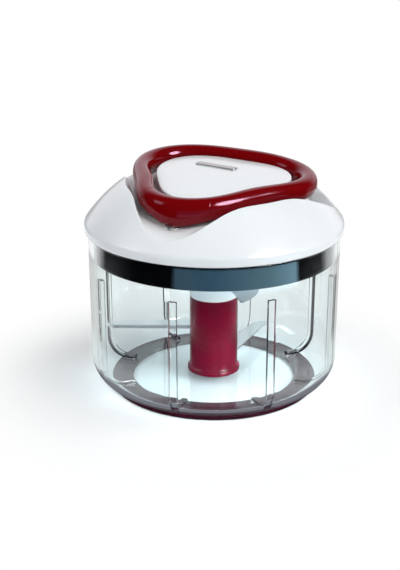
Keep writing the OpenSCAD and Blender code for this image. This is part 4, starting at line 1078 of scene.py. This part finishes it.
# The backdrop rises behind the object and ends half way up; the room in front of it is dim
world = bpy.data.worlds.new("studio")
bpy.context.scene.world = world
world.use_nodes = True
tree = world.node_tree
rays = add(tree, "ShaderNodeLightPath")
place = add(tree, "ShaderNodeTexCoord")
split = add(tree, "ShaderNodeSeparateXYZ")
tree.links.new(place.outputs["Generated"], split.inputs["Vector"])


def graded(axis, start, end, low, high, colour):
    """Background that brightens along an axis of the sky from a low to a high level."""
    rise = add(tree, "ShaderNodeMapRange", {"interpolation_type": "SMOOTHSTEP"}, From_Min=start, From_Max=end,
               To_Min=low, To_Max=high)
    tree.links.new(split.outputs[axis], rise.inputs["Value"])
    made = add(tree, "ShaderNodeBackground", Color=(*colour, 1))
    tree.links.new(rise.outputs["Result"], made.inputs["Strength"])
    return made.outputs["Background"]


def either_look(switch, first, second):
    """One look for the rays the switch names, another for the rest."""
    made = add(tree, "ShaderNodeMixShader")
    tree.links.new(rays.outputs[switch], made.inputs["Fac"])
    tree.links.new(first, made.inputs[1])
    tree.links.new(second, made.inputs[2])
    return made.outputs["Shader"]


room = graded("Z", -0.1, 0.9, 0.10, 0.22, (0.94, 0.98, 1.0))
look = either_look("Is Glossy Ray", room, graded("Y", 0.45, 0.85, 0.03, 1.0, (1.0, 0.94, 1.0)))
look = either_look("Is Transmission Ray", look, graded("Y", 0.1, 0.7, 0.4, 0.98, (0.93, 0.98, 1.0)))
backdrop = add(tree, "ShaderNodeBackground", Color=(1, 1, 1, 1), Strength=1.0)
look = either_look("Is Camera Ray", look, backdrop.outputs["Background"])
look = either_look("Diffuse Depth", look, room)
tree.links.new(look, tree.nodes["World Output"].inputs["Surface"])
tree.nodes.remove(tree.nodes["Background"])


def soft_panel(name, bearing, height, size, power, shape="RECTANGLE", mirrored=True, lights=True):
    """Soft light that faces the object, placed by its angles to the right of the camera and upwards."""
    lamp = bpy.data.lights.new(name, "AREA")
    lamp.shape, lamp.size, lamp.size_y, lamp.energy = shape, size[0], size[1], power
    panel = bpy.data.objects.new(name, lamp)
    flat = PANEL_FAR * cosd(height)
    panel.location = (flat * sind(bearing), -flat * cosd(bearing), AIM_Z + PANEL_FAR * sind(height))
    facing = Vector((0, 0, AIM_Z)) - panel.location
    panel.rotation_euler = facing.to_track_quat("-Z", "Y").to_euler()
    panel.visible_glossy, panel.visible_diffuse = mirrored, lights
    bpy.context.scene.collection.objects.link(panel)


soft_panel("key_panel", 48.0, 31.0, (0.55, 0.55), 6.0, "DISK", mirrored=False)
soft_panel("right_panel", 75.0, 60.0, (0.9, 0.7), 7.4, mirrored=False)
soft_panel("left_panel", -85.0, 33.0, (0.7, 0.5), 5.0, mirrored=False)
soft_panel("front_panel", 15.0, 12.0, (1.0, 0.4), 2.2, mirrored=False)
soft_panel("streak_panel", 52.0, 30.0, (0.66, 0.66), 36.0, "DISK", lights=False)
soft_panel("side_panel", -79.0, 26.0, (0.5, 0.5), 1.6, "DISK")

camera = bpy.data.objects.new("camera", bpy.data.cameras.new("camera"))
camera.data.sensor_width = 36.0
camera.data.lens = 77.58
camera.location = (0.0, -0.700, 0.3117)
camera.rotation_euler = (math.radians(90 - 19.78), 0.0, math.radians(0.69))
bpy.context.scene.collection.objects.link(camera)
bpy.context.scene.camera = camera
bpy.context.scene.view_settings.view_transform = "Standard"
